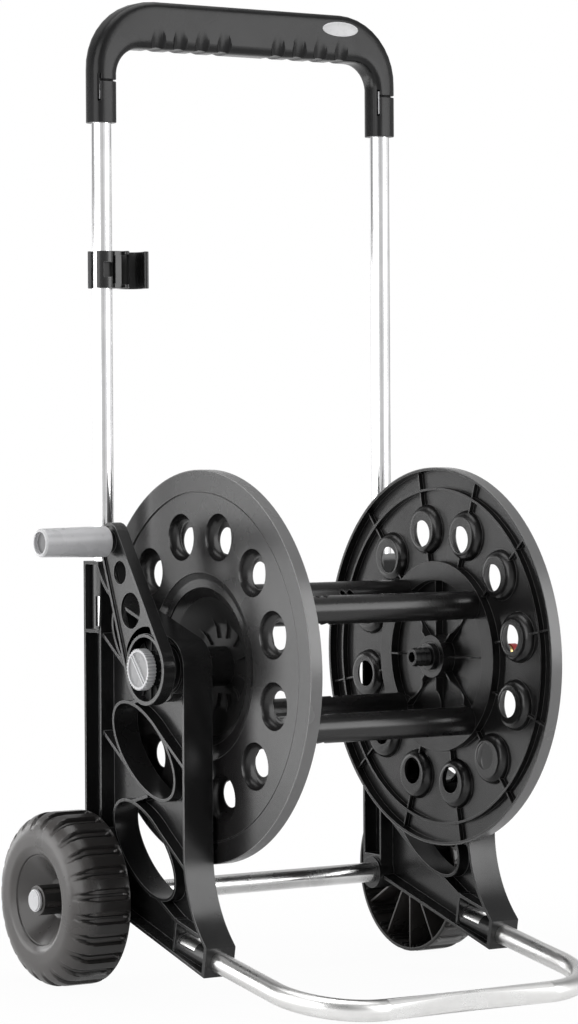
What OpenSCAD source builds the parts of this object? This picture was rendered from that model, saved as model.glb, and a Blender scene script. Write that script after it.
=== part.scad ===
// Wheeled garden hose reel cart: two ribbed side frames, a cranked reel between them,
// two wheels on a tube axle, a tube foot bar in front and a bow handle on two tubes.
// Lengths are millimetres. +X runs along the reel axis, the front looks to -Y and +Z is up.

/* [Cart] */
// Height of the top of the handle above the floor
overall_h = 952; // [900:1:1000]
// Distance between the middle planes of the two side frames
frame_span = 330; // [326:1:350]
// Height of the reel axis above the floor
reel_z = 310.5; // [304:0.5:325]
// Distance of the handle tubes behind the reel axis
handle_y = 139; // [136:0.5:144]
// Distance of the wheel axle behind the reel axis
axle_y = 134; // [126:0.5:136]
// Distance of the foot bar's front tube ahead of the reel axis
foot_reach = 228; // [215:1:250]
// Angle at which the foot bar rises to the rear
foot_rise = 10.4; // [9.8:0.1:12]

/* [Tubes] */
// Outside diameter of the handle tubes, the foot bar and the axle
tube_d = 20; // [18:0.5:21]
// Wall of the tubes
tube_wall = 1.5; // [1:0.1:2.5]
// Bend radius of the foot bar on the middle of the tube
foot_bend_r = 72; // [45:1:95]
// Clearance between a tube and the socket that holds it
tube_fit = 0.1; // [0.05:0.01:0.2]

/* [Side frames] */
// Thickness of a side frame along the reel axis
frame_w = 32; // [30:0.5:36]
// Width of the ribs and of the oval walls along the reel axis
rib_w = 27; // [20:0.5:29]
// Thickness of the border and of the ribs
frame_wall = 3.2; // [2.5:0.1:4]
// Thickness of the web between the ribs
web_t = 3; // [2:0.1:4]
// Height of the mouth of the handle tube socket
frame_top_z = 408; // [400:1:425]
// Depth of the handle tube socket
handle_socket_l = 66; // [50:1:75]
// Depth of the foot bar socket
foot_socket_l = 60; // [50:1:66]
// Half length of an oval opening
oval_a = 62; // [55:0.5:64]
// Half width of an oval opening
oval_b = 30; // [24:0.5:32]
// Slope of the oval openings
oval_tilt = 35; // [32:0.5:37]
// Height from one oval opening to the next
oval_pitch = 94; // [90:0.5:98]
// Number of oval openings
oval_count = 3; // [3]

/* [Reel] */
// Diameter of the reel flanges
flange_d = 372; // [340:1:378]
// Distance of a flange's inner lip from the middle plane of its side frame
flange_set_in = 34; // [33:1:50]
// Width of the flange rim along the axis
rim_w = 12.4; // [10:0.2:14]
// Wall of the flanges
flange_wall = 3; // [2.2:0.1:3.6]
// Number of dished holes in a flange
hole_count = 12; // [8:1:12]
// Diameter of a dished hole at its bottom
hole_d = 26; // [18:0.5:30]
// Diameter of the dish on the outer face
dish_d = 45; // [38:0.5:48]
// Radius of the ring of dished holes
hole_ring_r = 122.6; // [120:0.2:130]
// Radius of the circle that the drum bars stand on
bar_ring_r = 80; // [74:0.5:82]
// Diameter of a drum bar
bar_d = 27.5; // [22:0.5:28]
// Wall of a drum bar
bar_wall = 3; // [2:0.1:4]
// Diameter of the two spindles
spindle_d = 30; // [26:0.5:32]
// Running clearance of the spindles, the wheels and the crank grip
run_fit = 0.1; // [0.05:0.01:0.1]

/* [Crank] */
// Distance of the crank grip from the reel axis
crank_r = 134; // [120:1:140]
// Angle of the crank at rest, from upright toward the rear
crank_tilt = 28; // [0:1:90]
// Thickness of the crank hub along the axis
crank_hub_w = 21; // [18:0.5:24]
// Length of the crank grip
crank_grip_l = 72.5; // [65:0.5:100]
// Diameter of the crank grip beside the arm
crank_grip_d = 29.5; // [26:0.5:34]
// Diameter of the knob that holds the crank
knob_d = 39; // [34:0.5:42]

/* [Wheels] */
// Diameter of the wheels
wheel_d = 168; // [156:1:172]
// Width of a wheel
wheel_w = 57; // [50:0.5:60]
// Gap between a wheel and the side frame
wheel_gap = 9.5; // [6:0.5:12]
// Number of tread lugs
lug_count = 24; // [16:1:28]

/* [Handle] */
// Height of the grip bar from its underside to its top
grip_h = 47; // [40:0.5:52]
// Depth of the grip bar from front to rear
grip_depth = 31; // [29:0.5:36]
// Width and depth of a leg of the grip
grip_leg_w = 26.8; // [26.4:0.2:31]
// Height of the grip from its lower ends to its top
grip_drop = 120; // [110:1:140]
// Depth of the tube sockets in the grip
grip_socket_l = 44; // [30:1:48]
// Radius of the grip's outer corners
grip_corner_r = 69; // [55:1:75]
// Distance between finger hollows
finger_pitch = 25.4; // [22:0.2:26]

/* [Nozzle clip] */
// Distance of the middle of the clip below the top of the handle
clip_drop = 262; // [172:1:392]
// Length of the clip along its tube
clip_h = 36; // [28:1:50]
// Diameter of the jaw that holds the spray nozzle
jaw_d = 21; // [18:0.5:24]

/* [Hidden] */
$fn = 64;

// Colours as the photograph shows them
black_plastic = "#232326";
grey_plastic = "#8f9093";
bright_metal = "#d3d5d8";
brass = "#b99a55";
red_plastic = "#a8322c";
black_rubber = "#141414";

// Overrun of every cut past the face that it leaves
over = 1;

// Tubes and axle
tube_r = tube_d / 2;
tube_bore_r = tube_r - tube_wall;
socket_bore_r = tube_r + tube_fit;
socket_wall = 2;
sleeve_r = tube_r + socket_wall;
sleeve_lap = 0.6;
axle_z = wheel_d / 2;

// Side frame: places are given as [y, z], with the reel axis at y = 0
frame_x = frame_span / 2;
boss_proud = 3;
boss_half_w = frame_w / 2 + boss_proud;
rear_edge_y = handle_y + sleeve_r + sleeve_lap;
column_front_y = handle_y - sleeve_r - frame_wall + sleeve_lap;
rear_rib_y = column_front_y - frame_wall;
hub_r = 29.5;
bearing_wall = 6;
bearing_r = spindle_d / 2 + bearing_wall;
axle_boss_wall = 5.5;
boss_lap = 0.6;
axle_boss_r = tube_r + axle_boss_wall;
gusset_slope = 18;
gusset_steep = 63;
gusset_drop = 4;
flare_r = 112;
flare_z = 138;
flare_sweep = 46;
arc_steps = 14;

// The upper edge runs from the hub at a slope and rises in one concave arc to the tube socket
gusset_top = [column_front_y, frame_top_z - gusset_drop];
slope_normal = [-sin(gusset_slope), cos(gusset_slope)];
steep_normal = [-sin(gusset_steep), cos(gusset_steep)];
hub_crown = [0, reel_z] + hub_r * slope_normal;
gusset_r = ((gusset_top - hub_crown) * slope_normal) / (1 - steep_normal * slope_normal);
gusset_centre = gusset_top + gusset_r * steep_normal;
flare_centre = [-hub_r - flare_r, flare_z];

// Foot bar socket, measured along the sloping leg from the front tube
block_h = 28;
block_face_t = 5;
block_front_y = -64;
block_u = (foot_reach + block_front_y) / cos(foot_rise);
foot_leg_l = block_u + foot_socket_l;

// Windows that show the tubes in their sockets
window_l = 29;
window_w = 9;
window_deep = 10;

// Oval openings and the ribs that run along them
oval_centre_y = 47;
oval_low_z = 136;
oval_points = 60;
rib_lap = 0.5;
knot_r = 2.6;

// Flanges: h runs outward along the axis from the inner lip
flange_r = flange_d / 2;
lip_x = frame_x - flange_set_in;
flange_gap = 2 * lip_x;
hole_r = hole_d / 2;
dish_r = dish_d / 2;
dish_ledge = 4;
dish_shift = 3.8;
step_drop = 1;
face_h = rim_w - step_drop;
step_band = 20;
step_r = flange_r - step_band;
rib_ring_w = 2.5;
rib_ring_h = 6;
radial_rib_t = 1.6;
radial_rib_h = 4.5;
boss_wall = 2.4;
boss_h = 0;
hole_lead = 1;
bowl_steps = 6;
dish_bottom_r = hole_r + dish_ledge;
dish_ring_r = hole_ring_r + dish_shift;
stub_fit = 0.15;
stub_l = 16;
bar_r = bar_d / 2;
ring_out_r = bar_ring_r + bar_r;
ring_reach = 5;
ring_in_r = bar_ring_r - ring_reach;
funnel_edge = 4.5;
funnel_r = ring_out_r - funnel_edge;
funnel_lip = 0.8;
funnel_bend_r = 68;
funnel_bend_h = 6;
funnel_bend = [funnel_bend_r, funnel_bend_h];
funnel_low_r = 38;
funnel_h = -14;
funnel_steps = 8;
funnel_ribs = 12;
funnel_rib_share = 0.78;
funnel_rib_in_r = 27;
funnel_rib_h = 3;
step_groove_w = 1.4;
step_groove = 1;
hub_boss_r = 21;
hub_boss_h = 6;
saddle_ribs = 8;
saddle_r = 22;
saddle_lift = 16;
rest_turn = 49;

// Spindles
spindle_r = spindle_d / 2;
spindle_head_r = 23;
spindle_head_t = 3;
collar_wall = 4;
collar_r = spindle_r + collar_wall;
side_play = 0.5;
boss_in_x = frame_x - boss_half_w;
boss_out_x = frame_x + boss_half_w;
drive_side = 20;
drive_fit = 0.15;
screw_r = 5;
screw_fit = 0.15;
screw_l = 14;
water_r = 8;

// Crank
crank_in_x = boss_out_x + side_play;
crank_out_x = crank_in_x + crank_hub_w;
arm_hub_r = 34;
arm_top_r = 18;
arm_wall = 3;
arm_floor_t = 3;
arm_recess = 2.5;
arm_w = 13;
cup_r = 30;
cup_wall = 3;
cup_floor_t = 3;
cup_depth = 10;
cup_ribs = 12;
cup_rib_h = 3;
cup_rib_t = 1.4;
drive_boss_r = 17.5;
knob_seat = 1.5;
small_hole_r = 11;
small_hole_at = 101;
large_hole_r = 17;
large_hole_at = 61;
pin_r = 6;
pin_head_r = 9;
pin_head_t = 2;
pin_collar_r = 11;
pin_collar_t = 3;
pin_boss_r = 10;
snap_r = 7.4;
snap_l = 5;
snap_room = 0.4;
grip_end_recess = 4;
grip_end_t = 2.5;
grip_taper = 1.3;
grip_round = 1.5;
knob_h = 9;
knob_ridges = 36;
knob_groove_r = 1.1;
knob_rim = 3;
knob_dish = 1.5;
knob_bar_w = 5;
knob_slot_w = 1.8;
knob_slot_turn = 50;
left_reach = crank_out_x + pin_collar_t + run_fit + crank_grip_l;

// Water inlet
nut_r = 21;
nut_l = 24;
nut_lip_t = 2.5;
nut_lobes = 10;
nut_lobe_r = 2.2;
inlet_flange_r = 13.2;
inlet_flange_t = 2.8;
inlet_play = 0.3;
inlet_spigot_r = water_r - run_fit;
inlet_spigot_l = 17;
inlet_bore_r = 5;
inlet_nose_r = 8.4;
inlet_neck_l = 13;
inlet_nose_l = 15.5;
inlet_nose_edge = 1.5;
collar_ring_r = 9.4;
collar_ring_l = 8;
collar_seat_r = 7.2;
collar_fit = 0.02;
collar_slit = 1.6;
seal_t = 1.8;
seal_depth = 1.5;
seal_at = [5, 11];
spindle_end_x = boss_out_x + side_play + nut_l - nut_lip_t - inlet_flange_t - 2 * inlet_play;

// Hose tail inside the drum
tail_l = 18;
tail_shoulder_r = 13;
tail_shoulder_t = 5;
tail_tip_x = lip_x - hub_boss_h - tail_shoulder_t - tail_l;
tail_root_l = 12;
tail_r = 8;
tail_barb_r = 9.4;
tail_barbs = 3;
tail_barb_l = 5;
tail_bore_r = 5.2;

// Wheels: x runs outward from the inner edge of the wheel
wheel_r = wheel_d / 2;
wheel_in_x = frame_x + frame_w / 2 + wheel_gap;
tyre_wall = 4;
shoulder_r = 25;
inner_shoulder = 5;
inner_shoulder_drop = 3;
dish_edge_r = 43;
dish_floor_r = 19;
dish_step = 1.6;
dish_wall = 3;
dish_lip_drop = 4;
dish_depth = 28;
barrel_r = 14.5;
barrel_set_back = 2;
wheel_ribs = 12;
wheel_rib_t = 2.6;
wheel_rib_set_back = 4;
groove_r = 5;
groove_lift = 1;
groove_start = 6;
shoulder_steps = 9;
cap_r = 12.2;
cap_t = 3.6;
cap_edge = 1.2;
cap_stem_l = 18;
cap_stem_wall = 2;
cap_gap = 0.5;
cap_seat_x = wheel_in_x + wheel_w - barrel_set_back + cap_gap;
right_reach = cap_seat_x + cap_t;

// Handle grip
grip_low_z = overall_h - grip_drop;
grip_bar_z = overall_h - grip_h;
grip_in_r = 25;
leg_squareness = 3;
bar_squareness = 5;
grip_steps = 10;
grip_sides = 32;
finger_first = 32;
finger_r = 11.5;
finger_l = 60;
finger_lean = 13;
scallop_r = 14;
scallop_depth = 2.2;
finger_drop = 21;
finger_top_z = overall_h - finger_drop;
finger_count = 4;
latch_w = 2.6;
latch_l = 26;
latch_set = 8.5;
latch_floor = 4.5;
latch_depth = 1.6;
latch_seam_rise = 6;
latch_seam_w = 1.6;
latch_rise = 34;
latch_z = grip_low_z + latch_rise;

// Nozzle clip
clip_z = overall_h - clip_drop;
clip_wall = 4;
clip_gap_w = 12;
clip_gap_turn = 10;
jaw_wall = 3;
jaw_x = 28.5;
jaw_y = -6;
jaw_arm_l = 11;
jaw_lip_r = 2.6;
jaw_link_w = 18;
clip_window_w = 9;
clip_window_h = 16;
clip_window_depth = 4;

// The part stands on the middle of its footprint
cart_x = (left_reach - right_reach) / 2;
cart_y = (foot_reach + tube_r - axle_y - wheel_r) / 2;

// Points of an arc from angle a0 to angle a1
function arc(centre, radius, a0, a1, steps) = [
    for (i = [0 : steps])
        let (a = a0 + (a1 - a0) * i / steps)
        centre + radius * [cos(a), sin(a)]
];

// Points of an oval around a centre, grown by a margin
function oval(centre, margin) = [
    for (i = [0 : oval_points - 1])
        let (a = 360 * i / oval_points)
        let (u = (oval_a + margin) * cos(a), v = (oval_b + margin) * sin(a))
        centre + [u * cos(oval_tilt) - v * sin(oval_tilt), u * sin(oval_tilt) + v * cos(oval_tilt)]
];

// Outline of an arm with a large end at the origin and a small end at a distance
function arm_outline(large_r, small_r, distance) =
    let (lean = asin((large_r - small_r) / distance))
    concat(
        arc([0, distance], small_r, lean, 180 - lean, arc_steps),
        arc([0, 0], large_r, 180 - lean, 360 + lean, 2 * arc_steps)
    );

// Place on a side frame of a point that lies along and across the foot bar's leg
function foot_point(along, across) = [-foot_reach, tube_r] + [
    along * cos(foot_rise) - across * sin(foot_rise),
    along * sin(foot_rise) + across * cos(foot_rise)
];

function oval_centre(i) = [oval_centre_y, oval_low_z + i * oval_pitch];

// Height of the lower edge of the side frame at a place
frame_toe = foot_point(block_u, -block_h / 2);
lower_edge_rise = (axle_z - frame_toe[1]) / (axle_y - frame_toe[0]);
function lower_edge_z(y) = frame_toe[1] + lower_edge_rise * (y - frame_toe[0]);

module place() {
    translate([cart_x, cart_y, 0]) children();
}

// Extrudes a [y, z] outline along X
module along_x(x0, x1) {
    translate([x0, 0, 0]) rotate([90, 0, 90]) linear_extrude(x1 - x0) children();
}

// Cylinder along X at a place given as [y, z]
module rod_x(at, x0, x1, radius) {
    translate([x0, at[0], at[1]]) rotate([0, 90, 0]) cylinder(h = x1 - x0, r = radius);
}

// Turns a shape that stands on +Z so that it points along +X at the reel axis
module on_reel_axis() {
    translate([0, 0, reel_z]) rotate([0, 90, 0]) children();
}

// Lies along the foot bar's leg: y runs to the rear along the leg and z stands square to it
module on_foot_slope() {
    translate([0, -foot_reach, tube_r]) rotate([foot_rise, 0, 0]) children();
}

// Side frames

module frame_outline() {
    polygon(concat(
        arc([0, reel_z], hub_r, 90 + gusset_slope, 180, arc_steps),
        arc(flare_centre, flare_r, 0, -flare_sweep, arc_steps),
        [foot_point(block_u, block_h / 2), frame_toe],
        [[axle_y, axle_z], [rear_edge_y, axle_z], [rear_edge_y, frame_top_z]],
        [[column_front_y, frame_top_z]],
        arc(gusset_centre, gusset_r, gusset_steep - 90, gusset_slope - 90, arc_steps)
    ));
    translate([axle_y, axle_z]) circle(axle_boss_r);
}

// Large pocket between the border, the rear rib and the lower edge
module main_pocket() {
    pocket_rear = rear_rib_y - frame_wall / 2;
    inner_r = gusset_r + frame_wall;
    start = asin((pocket_rear - gusset_centre[0]) / inner_r);
    toe = foot_point(block_u + block_face_t, frame_wall - block_h / 2);
    lift = frame_wall / cos(foot_rise);
    polygon(concat(
        arc([0, reel_z], hub_r - frame_wall, 90 + gusset_slope, 180, arc_steps),
        arc(flare_centre, flare_r + frame_wall, 0, -flare_sweep + foot_rise / 2, arc_steps),
        [foot_point(block_u + block_face_t, block_h / 2), toe],
        [[pocket_rear, lower_edge_z(pocket_rear) + lift]],
        arc(gusset_centre, inner_r, start - 90, gusset_slope - 90, arc_steps)
    ));
}

// Channel between the rear rib and the rear border, under the tube socket
module rear_pocket() {
    low = axle_z + axle_boss_r + frame_wall;
    high = frame_top_z - handle_socket_l - frame_wall;
    front = rear_rib_y + frame_wall / 2;
    translate([front, low]) square([rear_edge_y - frame_wall - front, high - low]);
}

// Recess beside the round sleeve of the tube socket
module socket_pocket() {
    low = frame_top_z - handle_socket_l;
    front = column_front_y + frame_wall;
    translate([front, low]) square([rear_edge_y - frame_wall - front, handle_socket_l - frame_wall]);
}

// A straight rib between two points
module rib(from, to) {
    run = to - from;
    translate(from) rotate(atan2(run[1], run[0]))
        translate([0, -frame_wall / 2]) square([norm(run), frame_wall]);
}

// Ribs along the ovals: each leaves an oval at its side and runs to a border
module oval_ribs() {
    side = oval_b + frame_wall / 2 - rib_lap;
    along = [cos(oval_tilt), sin(oval_tilt)];
    across = [-sin(oval_tilt), cos(oval_tilt)];
    for (i = [0 : oval_count - 1]) {
        low = oval_centre(i) - side * across;
        high = oval_centre(i) + side * across;
        rib(low, low + along * (rear_rib_y - low[0]) / along[0]);
        rib(high + along * (-hub_r - high[0]) / along[0], high);
    }
    for (i = [0 : oval_count - 2]) {
        tip = oval_centre(i) + (oval_a + frame_wall / 2) * along;
        rib(oval_centre(i + 1) - side * across - along * oval_b, tip);
    }
}

// Walls of the box round the foot bar socket
module foot_box() {
    rear = block_u + foot_socket_l;
    crown = foot_point(rear, block_h / 2 + 3 * frame_wall);
    rib(foot_point(rear, -block_h / 2), crown);
    rib(crown, foot_point(block_u + block_h / 2, block_h / 2 + 2 * frame_wall));
    rib(crown, oval_centre(0) - (oval_b + frame_wall / 2) * [0, 1]);
    translate(crown) circle(knot_r);
}

module frame_ribs() {
    intersection() {
        frame_outline();
        union() {
            oval_ribs();
            foot_box();
            for (i = [0 : oval_count - 1]) polygon(oval(oval_centre(i), frame_wall));
            translate([0, reel_z]) circle(bearing_r + frame_wall);
        }
    }
}

// The upper oval keeps clear of the hub and of the border
module oval_openings() {
    for (i = [0 : oval_count - 2]) polygon(oval(oval_centre(i), 0));
    difference() {
        intersection() {
            polygon(oval(oval_centre(oval_count - 1), 0));
            main_pocket();
        }
        translate([0, reel_z]) circle(hub_r + frame_wall);
    }
}

module frame_border() {
    difference() {
        frame_outline();
        main_pocket();
        rear_pocket();
        socket_pocket();
    }
}

module frame_walls() {
    difference() {
        frame_ribs();
        oval_openings();
    }
}

module frame_web() {
    difference() {
        frame_outline();
        oval_openings();
    }
}

// Round sleeves and bosses of the frame
module frame_sleeves() {
    translate([0, handle_y, frame_top_z - handle_socket_l]) cylinder(h = handle_socket_l, r = sleeve_r);
    on_foot_slope() translate([0, block_u, 0]) rotate([-90, 0, 0]) cylinder(h = foot_socket_l, r = sleeve_r);
    rod_x([0, reel_z], -boss_half_w, boss_half_w, bearing_r);
    rod_x([axle_y, axle_z], -boss_half_w, boss_half_w, axle_boss_r + boss_lap);
}

module frame_bores() {
    translate([0, handle_y, frame_top_z - handle_socket_l])
        cylinder(h = handle_socket_l + over, r = socket_bore_r);
    on_foot_slope() translate([0, block_u - over, 0]) rotate([-90, 0, 0])
        cylinder(h = foot_socket_l + over, r = socket_bore_r);
    rod_x([0, reel_z], -boss_half_w - over, boss_half_w + over, spindle_r + run_fit);
    rod_x([axle_y, axle_z], -boss_half_w - over, boss_half_w + over, socket_bore_r);
}

// Slots that show a tube in its sleeve: the upper one from each side, the lower one right through
module socket_windows() {
    width = frame_w + 2 * over;
    window_front_y = rear_rib_y - over;
    for (side = [-1, 1])
        translate([side * (width - window_deep) / 2 - window_deep / 2, window_front_y,
            frame_top_z - handle_socket_l + frame_wall])
            cube([window_deep, handle_y - sleeve_r + window_w - window_front_y, window_l]);
    on_foot_slope()
        translate([-width / 2, block_u + foot_socket_l - frame_wall - window_l, sleeve_r - window_w])
        cube([width, window_l, window_w + over]);
}

module side_frame() {
    color(black_plastic) difference() {
        union() {
            along_x(-frame_w / 2, frame_w / 2) frame_border();
            along_x(-rib_w / 2, rib_w / 2) frame_walls();
            along_x(-web_t / 2, web_t / 2) frame_web();
            frame_sleeves();
        }
        frame_bores();
        socket_windows();
    }
}

module left_side_frame() {
    place() translate([-frame_x, 0, 0]) side_frame();
}

module right_side_frame() {
    place() translate([frame_x, 0, 0]) side_frame();
}

// Foot bar, axle and handle tubes

// One tube bent into a U, lying along the slope of its legs
module foot_bar_run(radius, extra) {
    bend_x = frame_x - foot_bend_r;
    translate([-bend_x, 0, 0]) rotate([0, 90, 0]) cylinder(h = 2 * bend_x, r = radius);
    for (side = [-1, 1]) {
        translate([side * bend_x, foot_bend_r, 0]) rotate([0, 0, side > 0 ? -90 : 180])
            rotate_extrude(angle = 90) translate([foot_bend_r, 0]) circle(radius);
        translate([side * frame_x, foot_bend_r, 0]) rotate([-90, 0, 0])
            cylinder(h = foot_leg_l - foot_bend_r + extra, r = radius);
    }
}

module foot_bar() {
    color(bright_metal) place() on_foot_slope() difference() {
        foot_bar_run(tube_r, 0);
        foot_bar_run(tube_bore_r, over);
    }
}

module wheel_axle() {
    color(bright_metal) place() difference() {
        rod_x([axle_y, axle_z], -cap_seat_x, cap_seat_x, tube_r);
        rod_x([axle_y, axle_z], -cap_seat_x - over, cap_seat_x + over, tube_bore_r);
    }
}

module handle_tube(x) {
    low = frame_top_z - handle_socket_l;
    high = grip_low_z + grip_socket_l;
    color(bright_metal) place() translate([x, handle_y, low]) difference() {
        cylinder(h = high - low, r = tube_r);
        translate([0, 0, -over]) cylinder(h = high - low + 2 * over, r = tube_bore_r);
    }
}

module left_handle_tube() {
    handle_tube(-frame_x);
}

module right_handle_tube() {
    handle_tube(frame_x);
}

// Handle grip: a loft through rounded sections that run from one leg round the bow to the other

grip_leg_out = frame_x + grip_leg_w / 2;
grip_leg_in = frame_x - grip_leg_w / 2;

// Inner and outer point, as [x, z], of the section at an angle round the corner
function bow_inner(a) = [
    grip_leg_in - grip_in_r + grip_in_r * cos(a),
    grip_bar_z - grip_in_r + grip_in_r * sin(a)
];
function bow_outer(a) = [
    grip_leg_out - grip_corner_r + grip_corner_r * cos(a),
    overall_h - grip_corner_r + grip_corner_r * sin(a)
];

// Depth and squareness of a section, from the leg at share 0 to the bar at share 1
function bow_depth(share) = grip_leg_w + (grip_depth - grip_leg_w) * share;
function bow_squareness(share) = leg_squareness + (bar_squareness - leg_squareness) * share;
half_bow = concat(
    [[[grip_leg_in, grip_low_z], [grip_leg_out, grip_low_z], 0]],
    [for (i = [0 : grip_steps]) let (a = 90 * i / grip_steps) [bow_inner(a), bow_outer(a), i / grip_steps]]
);
function flipped(p) = [-p[0], p[1]];
function mirrored(station) = [flipped(station[0]), flipped(station[1]), station[2]];
bow = concat(half_bow, [for (i = [len(half_bow) - 1 : -1 : 0]) mirrored(half_bow[i])]);

// Point of a rounded square of half size 1
function squared(s, squareness) = sign(s) * pow(abs(s), 2 / squareness);
function bow_section(squareness) = [
    for (i = [0 : grip_sides - 1])
        let (a = 360 * (i + 0.5) / grip_sides)
        [squared(cos(a), squareness), squared(sin(a), squareness)]
];
bow_points = [
    for (station = bow)
        let (middle = (station[0] + station[1]) / 2, reach = (station[1] - station[0]) / 2)
        for (p = bow_section(bow_squareness(station[2])))
            let (q = middle + p[0] * reach)
            [q[0], handle_y + p[1] * bow_depth(station[2]) / 2, q[1]]
];
bow_last = (len(bow) - 1) * grip_sides;
bow_faces = concat(
    [[for (j = [0 : grip_sides - 1]) j]],
    [[for (j = [grip_sides - 1 : -1 : 0]) bow_last + j]],
    [
        for (i = [0 : len(bow) - 2], j = [0 : grip_sides - 1], half = [0, 1])
            let (k = (j + 1) % grip_sides, here = i * grip_sides, there = here + grip_sides)
            half == 0 ? [here + j, there + j, there + k] : [here + j, there + k, here + k]
    ]
);

// Hollows for the fingers: they deepen down the front of the bar and run on across its underside
module finger_hollows() {
    front = handle_y - grip_depth / 2;
    for (side = [-1, 1], i = [0 : finger_count - 1]) {
        x = side * (finger_first + i * finger_pitch);
        translate([x, front, finger_top_z]) rotate([finger_lean, 0, 0])
            translate([0, -finger_r, -finger_l]) cylinder(h = 2 * finger_l, r = finger_r);
        translate([x, front - over, grip_bar_z - scallop_r + scallop_depth]) rotate([-90, 0, 0])
            cylinder(h = grip_depth + 2 * over, r = scallop_r);
    }
}

// Slot beside the snap tongue that holds a tube, and the seam above the tongue
module latches() {
    for (side = [-1, 1])
        translate([side * frame_x, handle_y, latch_z]) {
            translate([-latch_set - latch_w / 2, -grip_leg_w, -latch_l / 2])
                cube([latch_w, grip_leg_w - latch_floor, latch_l]);
            translate([0, 0, latch_seam_rise]) difference() {
                translate([-latch_set, -grip_leg_w, 0]) cube([grip_leg_w, grip_leg_w, latch_seam_w]);
                translate([0, 0, -over])
                    cylinder(h = latch_seam_w + 2 * over, r = grip_leg_w / 2 - latch_depth);
            }
        }
}

module handle_grip() {
    color(black_plastic) place() difference() {
        polyhedron(points = bow_points, faces = bow_faces, convexity = 6);
        for (side = [-1, 1])
            translate([side * frame_x, handle_y, grip_low_z - over])
                cylinder(h = grip_socket_l + over, r = socket_bore_r);
        finger_hollows();
        latches();
    }
}

// Nozzle clip: a ring snapped on the left tube, with a forked jaw beside it that opens to the front

module clip_ring() {
    difference() {
        circle(tube_r + clip_wall);
        circle(tube_r + run_fit);
        rotate(clip_gap_turn) translate([-tube_r - clip_wall - over, -clip_gap_w / 2])
            square([tube_r + clip_wall, clip_gap_w]);
    }
}

module jaw_outline() {
    jaw_out_r = jaw_d / 2 + jaw_wall;
    difference() {
        union() {
            circle(jaw_out_r);
            translate([-jaw_out_r, -jaw_arm_l]) square([2 * jaw_out_r, jaw_arm_l]);
        }
        circle(jaw_d / 2);
        translate([-jaw_d / 2, -jaw_out_r - over]) square([jaw_d, jaw_out_r + over]);
    }
    for (side = [-1, 1])
        translate([side * (jaw_d / 2 + jaw_wall - jaw_lip_r), -jaw_arm_l]) circle(jaw_lip_r);
}

// Block between the ring and the jaw, with a pocket in its front
module clip_link() {
    from = tube_r - clip_wall;
    to = jaw_x - jaw_d / 2 - jaw_wall / 2;
    front = -tube_r - clip_wall;
    difference() {
        translate([from, front, 0]) cube([to - from, jaw_link_w, clip_h]);
        translate([0, 0, -over]) cylinder(h = clip_h + 2 * over, r = tube_r + clip_wall / 2);
        translate([to - clip_window_w, front - over, (clip_h - clip_window_h) / 2])
            cube([clip_window_w - jaw_wall / 2, clip_window_depth + over, clip_window_h]);
    }
}

module nozzle_clip() {
    color(black_plastic) place() translate([-frame_x, handle_y, clip_z - clip_h / 2]) {
        linear_extrude(clip_h) clip_ring();
        translate([jaw_x, jaw_y, 0]) linear_extrude(clip_h) jaw_outline();
        clip_link();
    }
}

// Reel flanges

// Half section of the rim and the face, as [r, h]
module flange_section() {
    inside_h = face_h - flange_wall;
    polygon([
        [ring_out_r, inside_h], [step_r - rib_ring_w, inside_h],
        [step_r - rib_ring_w, inside_h - rib_ring_h], [step_r, inside_h - rib_ring_h],
        [step_r, inside_h], [flange_r - flange_wall, inside_h],
        [flange_r - flange_wall, 0], [flange_r, 0],
        [flange_r, rim_w], [step_r, rim_w],
        [step_r, face_h - step_groove], [step_r - step_groove_w, face_h - step_groove],
        [step_r - step_groove_w, face_h], [ring_out_r, face_h]
    ]);
}

// Half section of the ring that carries the drum bars
module ring_section() {
    translate([ring_in_r, 0]) square([ring_out_r - ring_in_r, face_h - flange_wall]);
}

// Funnel that sinks in one smooth curve from the outer face of the left flange to the crank spindle
funnel_mouth = [funnel_r - funnel_lip, face_h - funnel_lip];
function funnel_point(t) = (1 - t) * (1 - t) * funnel_mouth + 2 * t * (1 - t) * funnel_bend
    + t * t * [funnel_low_r, funnel_h];
funnel_curve = [for (i = [0 : funnel_steps]) funnel_point(i / funnel_steps)];
under_curve = [for (p = funnel_curve) if (p[0] < ring_in_r) p - [0, flange_wall]];
module funnel_section() {
    polygon(concat(
        [[ring_out_r + over, face_h - flange_wall], [ring_out_r + over, face_h], [funnel_r, face_h]],
        funnel_curve,
        [[spindle_r + screw_fit, funnel_h], [spindle_r + screw_fit, funnel_h - flange_wall]],
        [for (i = [len(under_curve) - 1 : -1 : 0]) under_curve[i]],
        [[ring_in_r + over, under_curve[0][1]]]
    ));
}

// Thin ribs that stand in the funnel round the spindle
module funnel_rib_set() {
    rib_end = funnel_point(funnel_rib_share) - [0, flange_wall / 2];
    for (i = [0 : funnel_ribs - 1])
        rotate([90, 0, 360 * (i + 0.5) / funnel_ribs]) translate([0, 0, -radial_rib_t / 2])
            linear_extrude(radial_rib_t) polygon([
                [funnel_rib_in_r, funnel_h - flange_wall / 2], [funnel_rib_in_r, funnel_h + funnel_rib_h],
                [funnel_low_r, funnel_h + funnel_rib_h], rib_end,
                [funnel_low_r, funnel_h - flange_wall / 2]
            ]);
}

// Flat middle of the right flange with the boss round the inlet spindle
module boss_section() {
    inside_h = face_h - flange_wall;
    polygon([
        [spindle_r + screw_fit, -hub_boss_h], [hub_boss_r, -hub_boss_h],
        [hub_boss_r, inside_h], [ring_out_r + over, inside_h],
        [ring_out_r + over, face_h], [spindle_r + screw_fit, face_h]
    ]);
}

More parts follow.
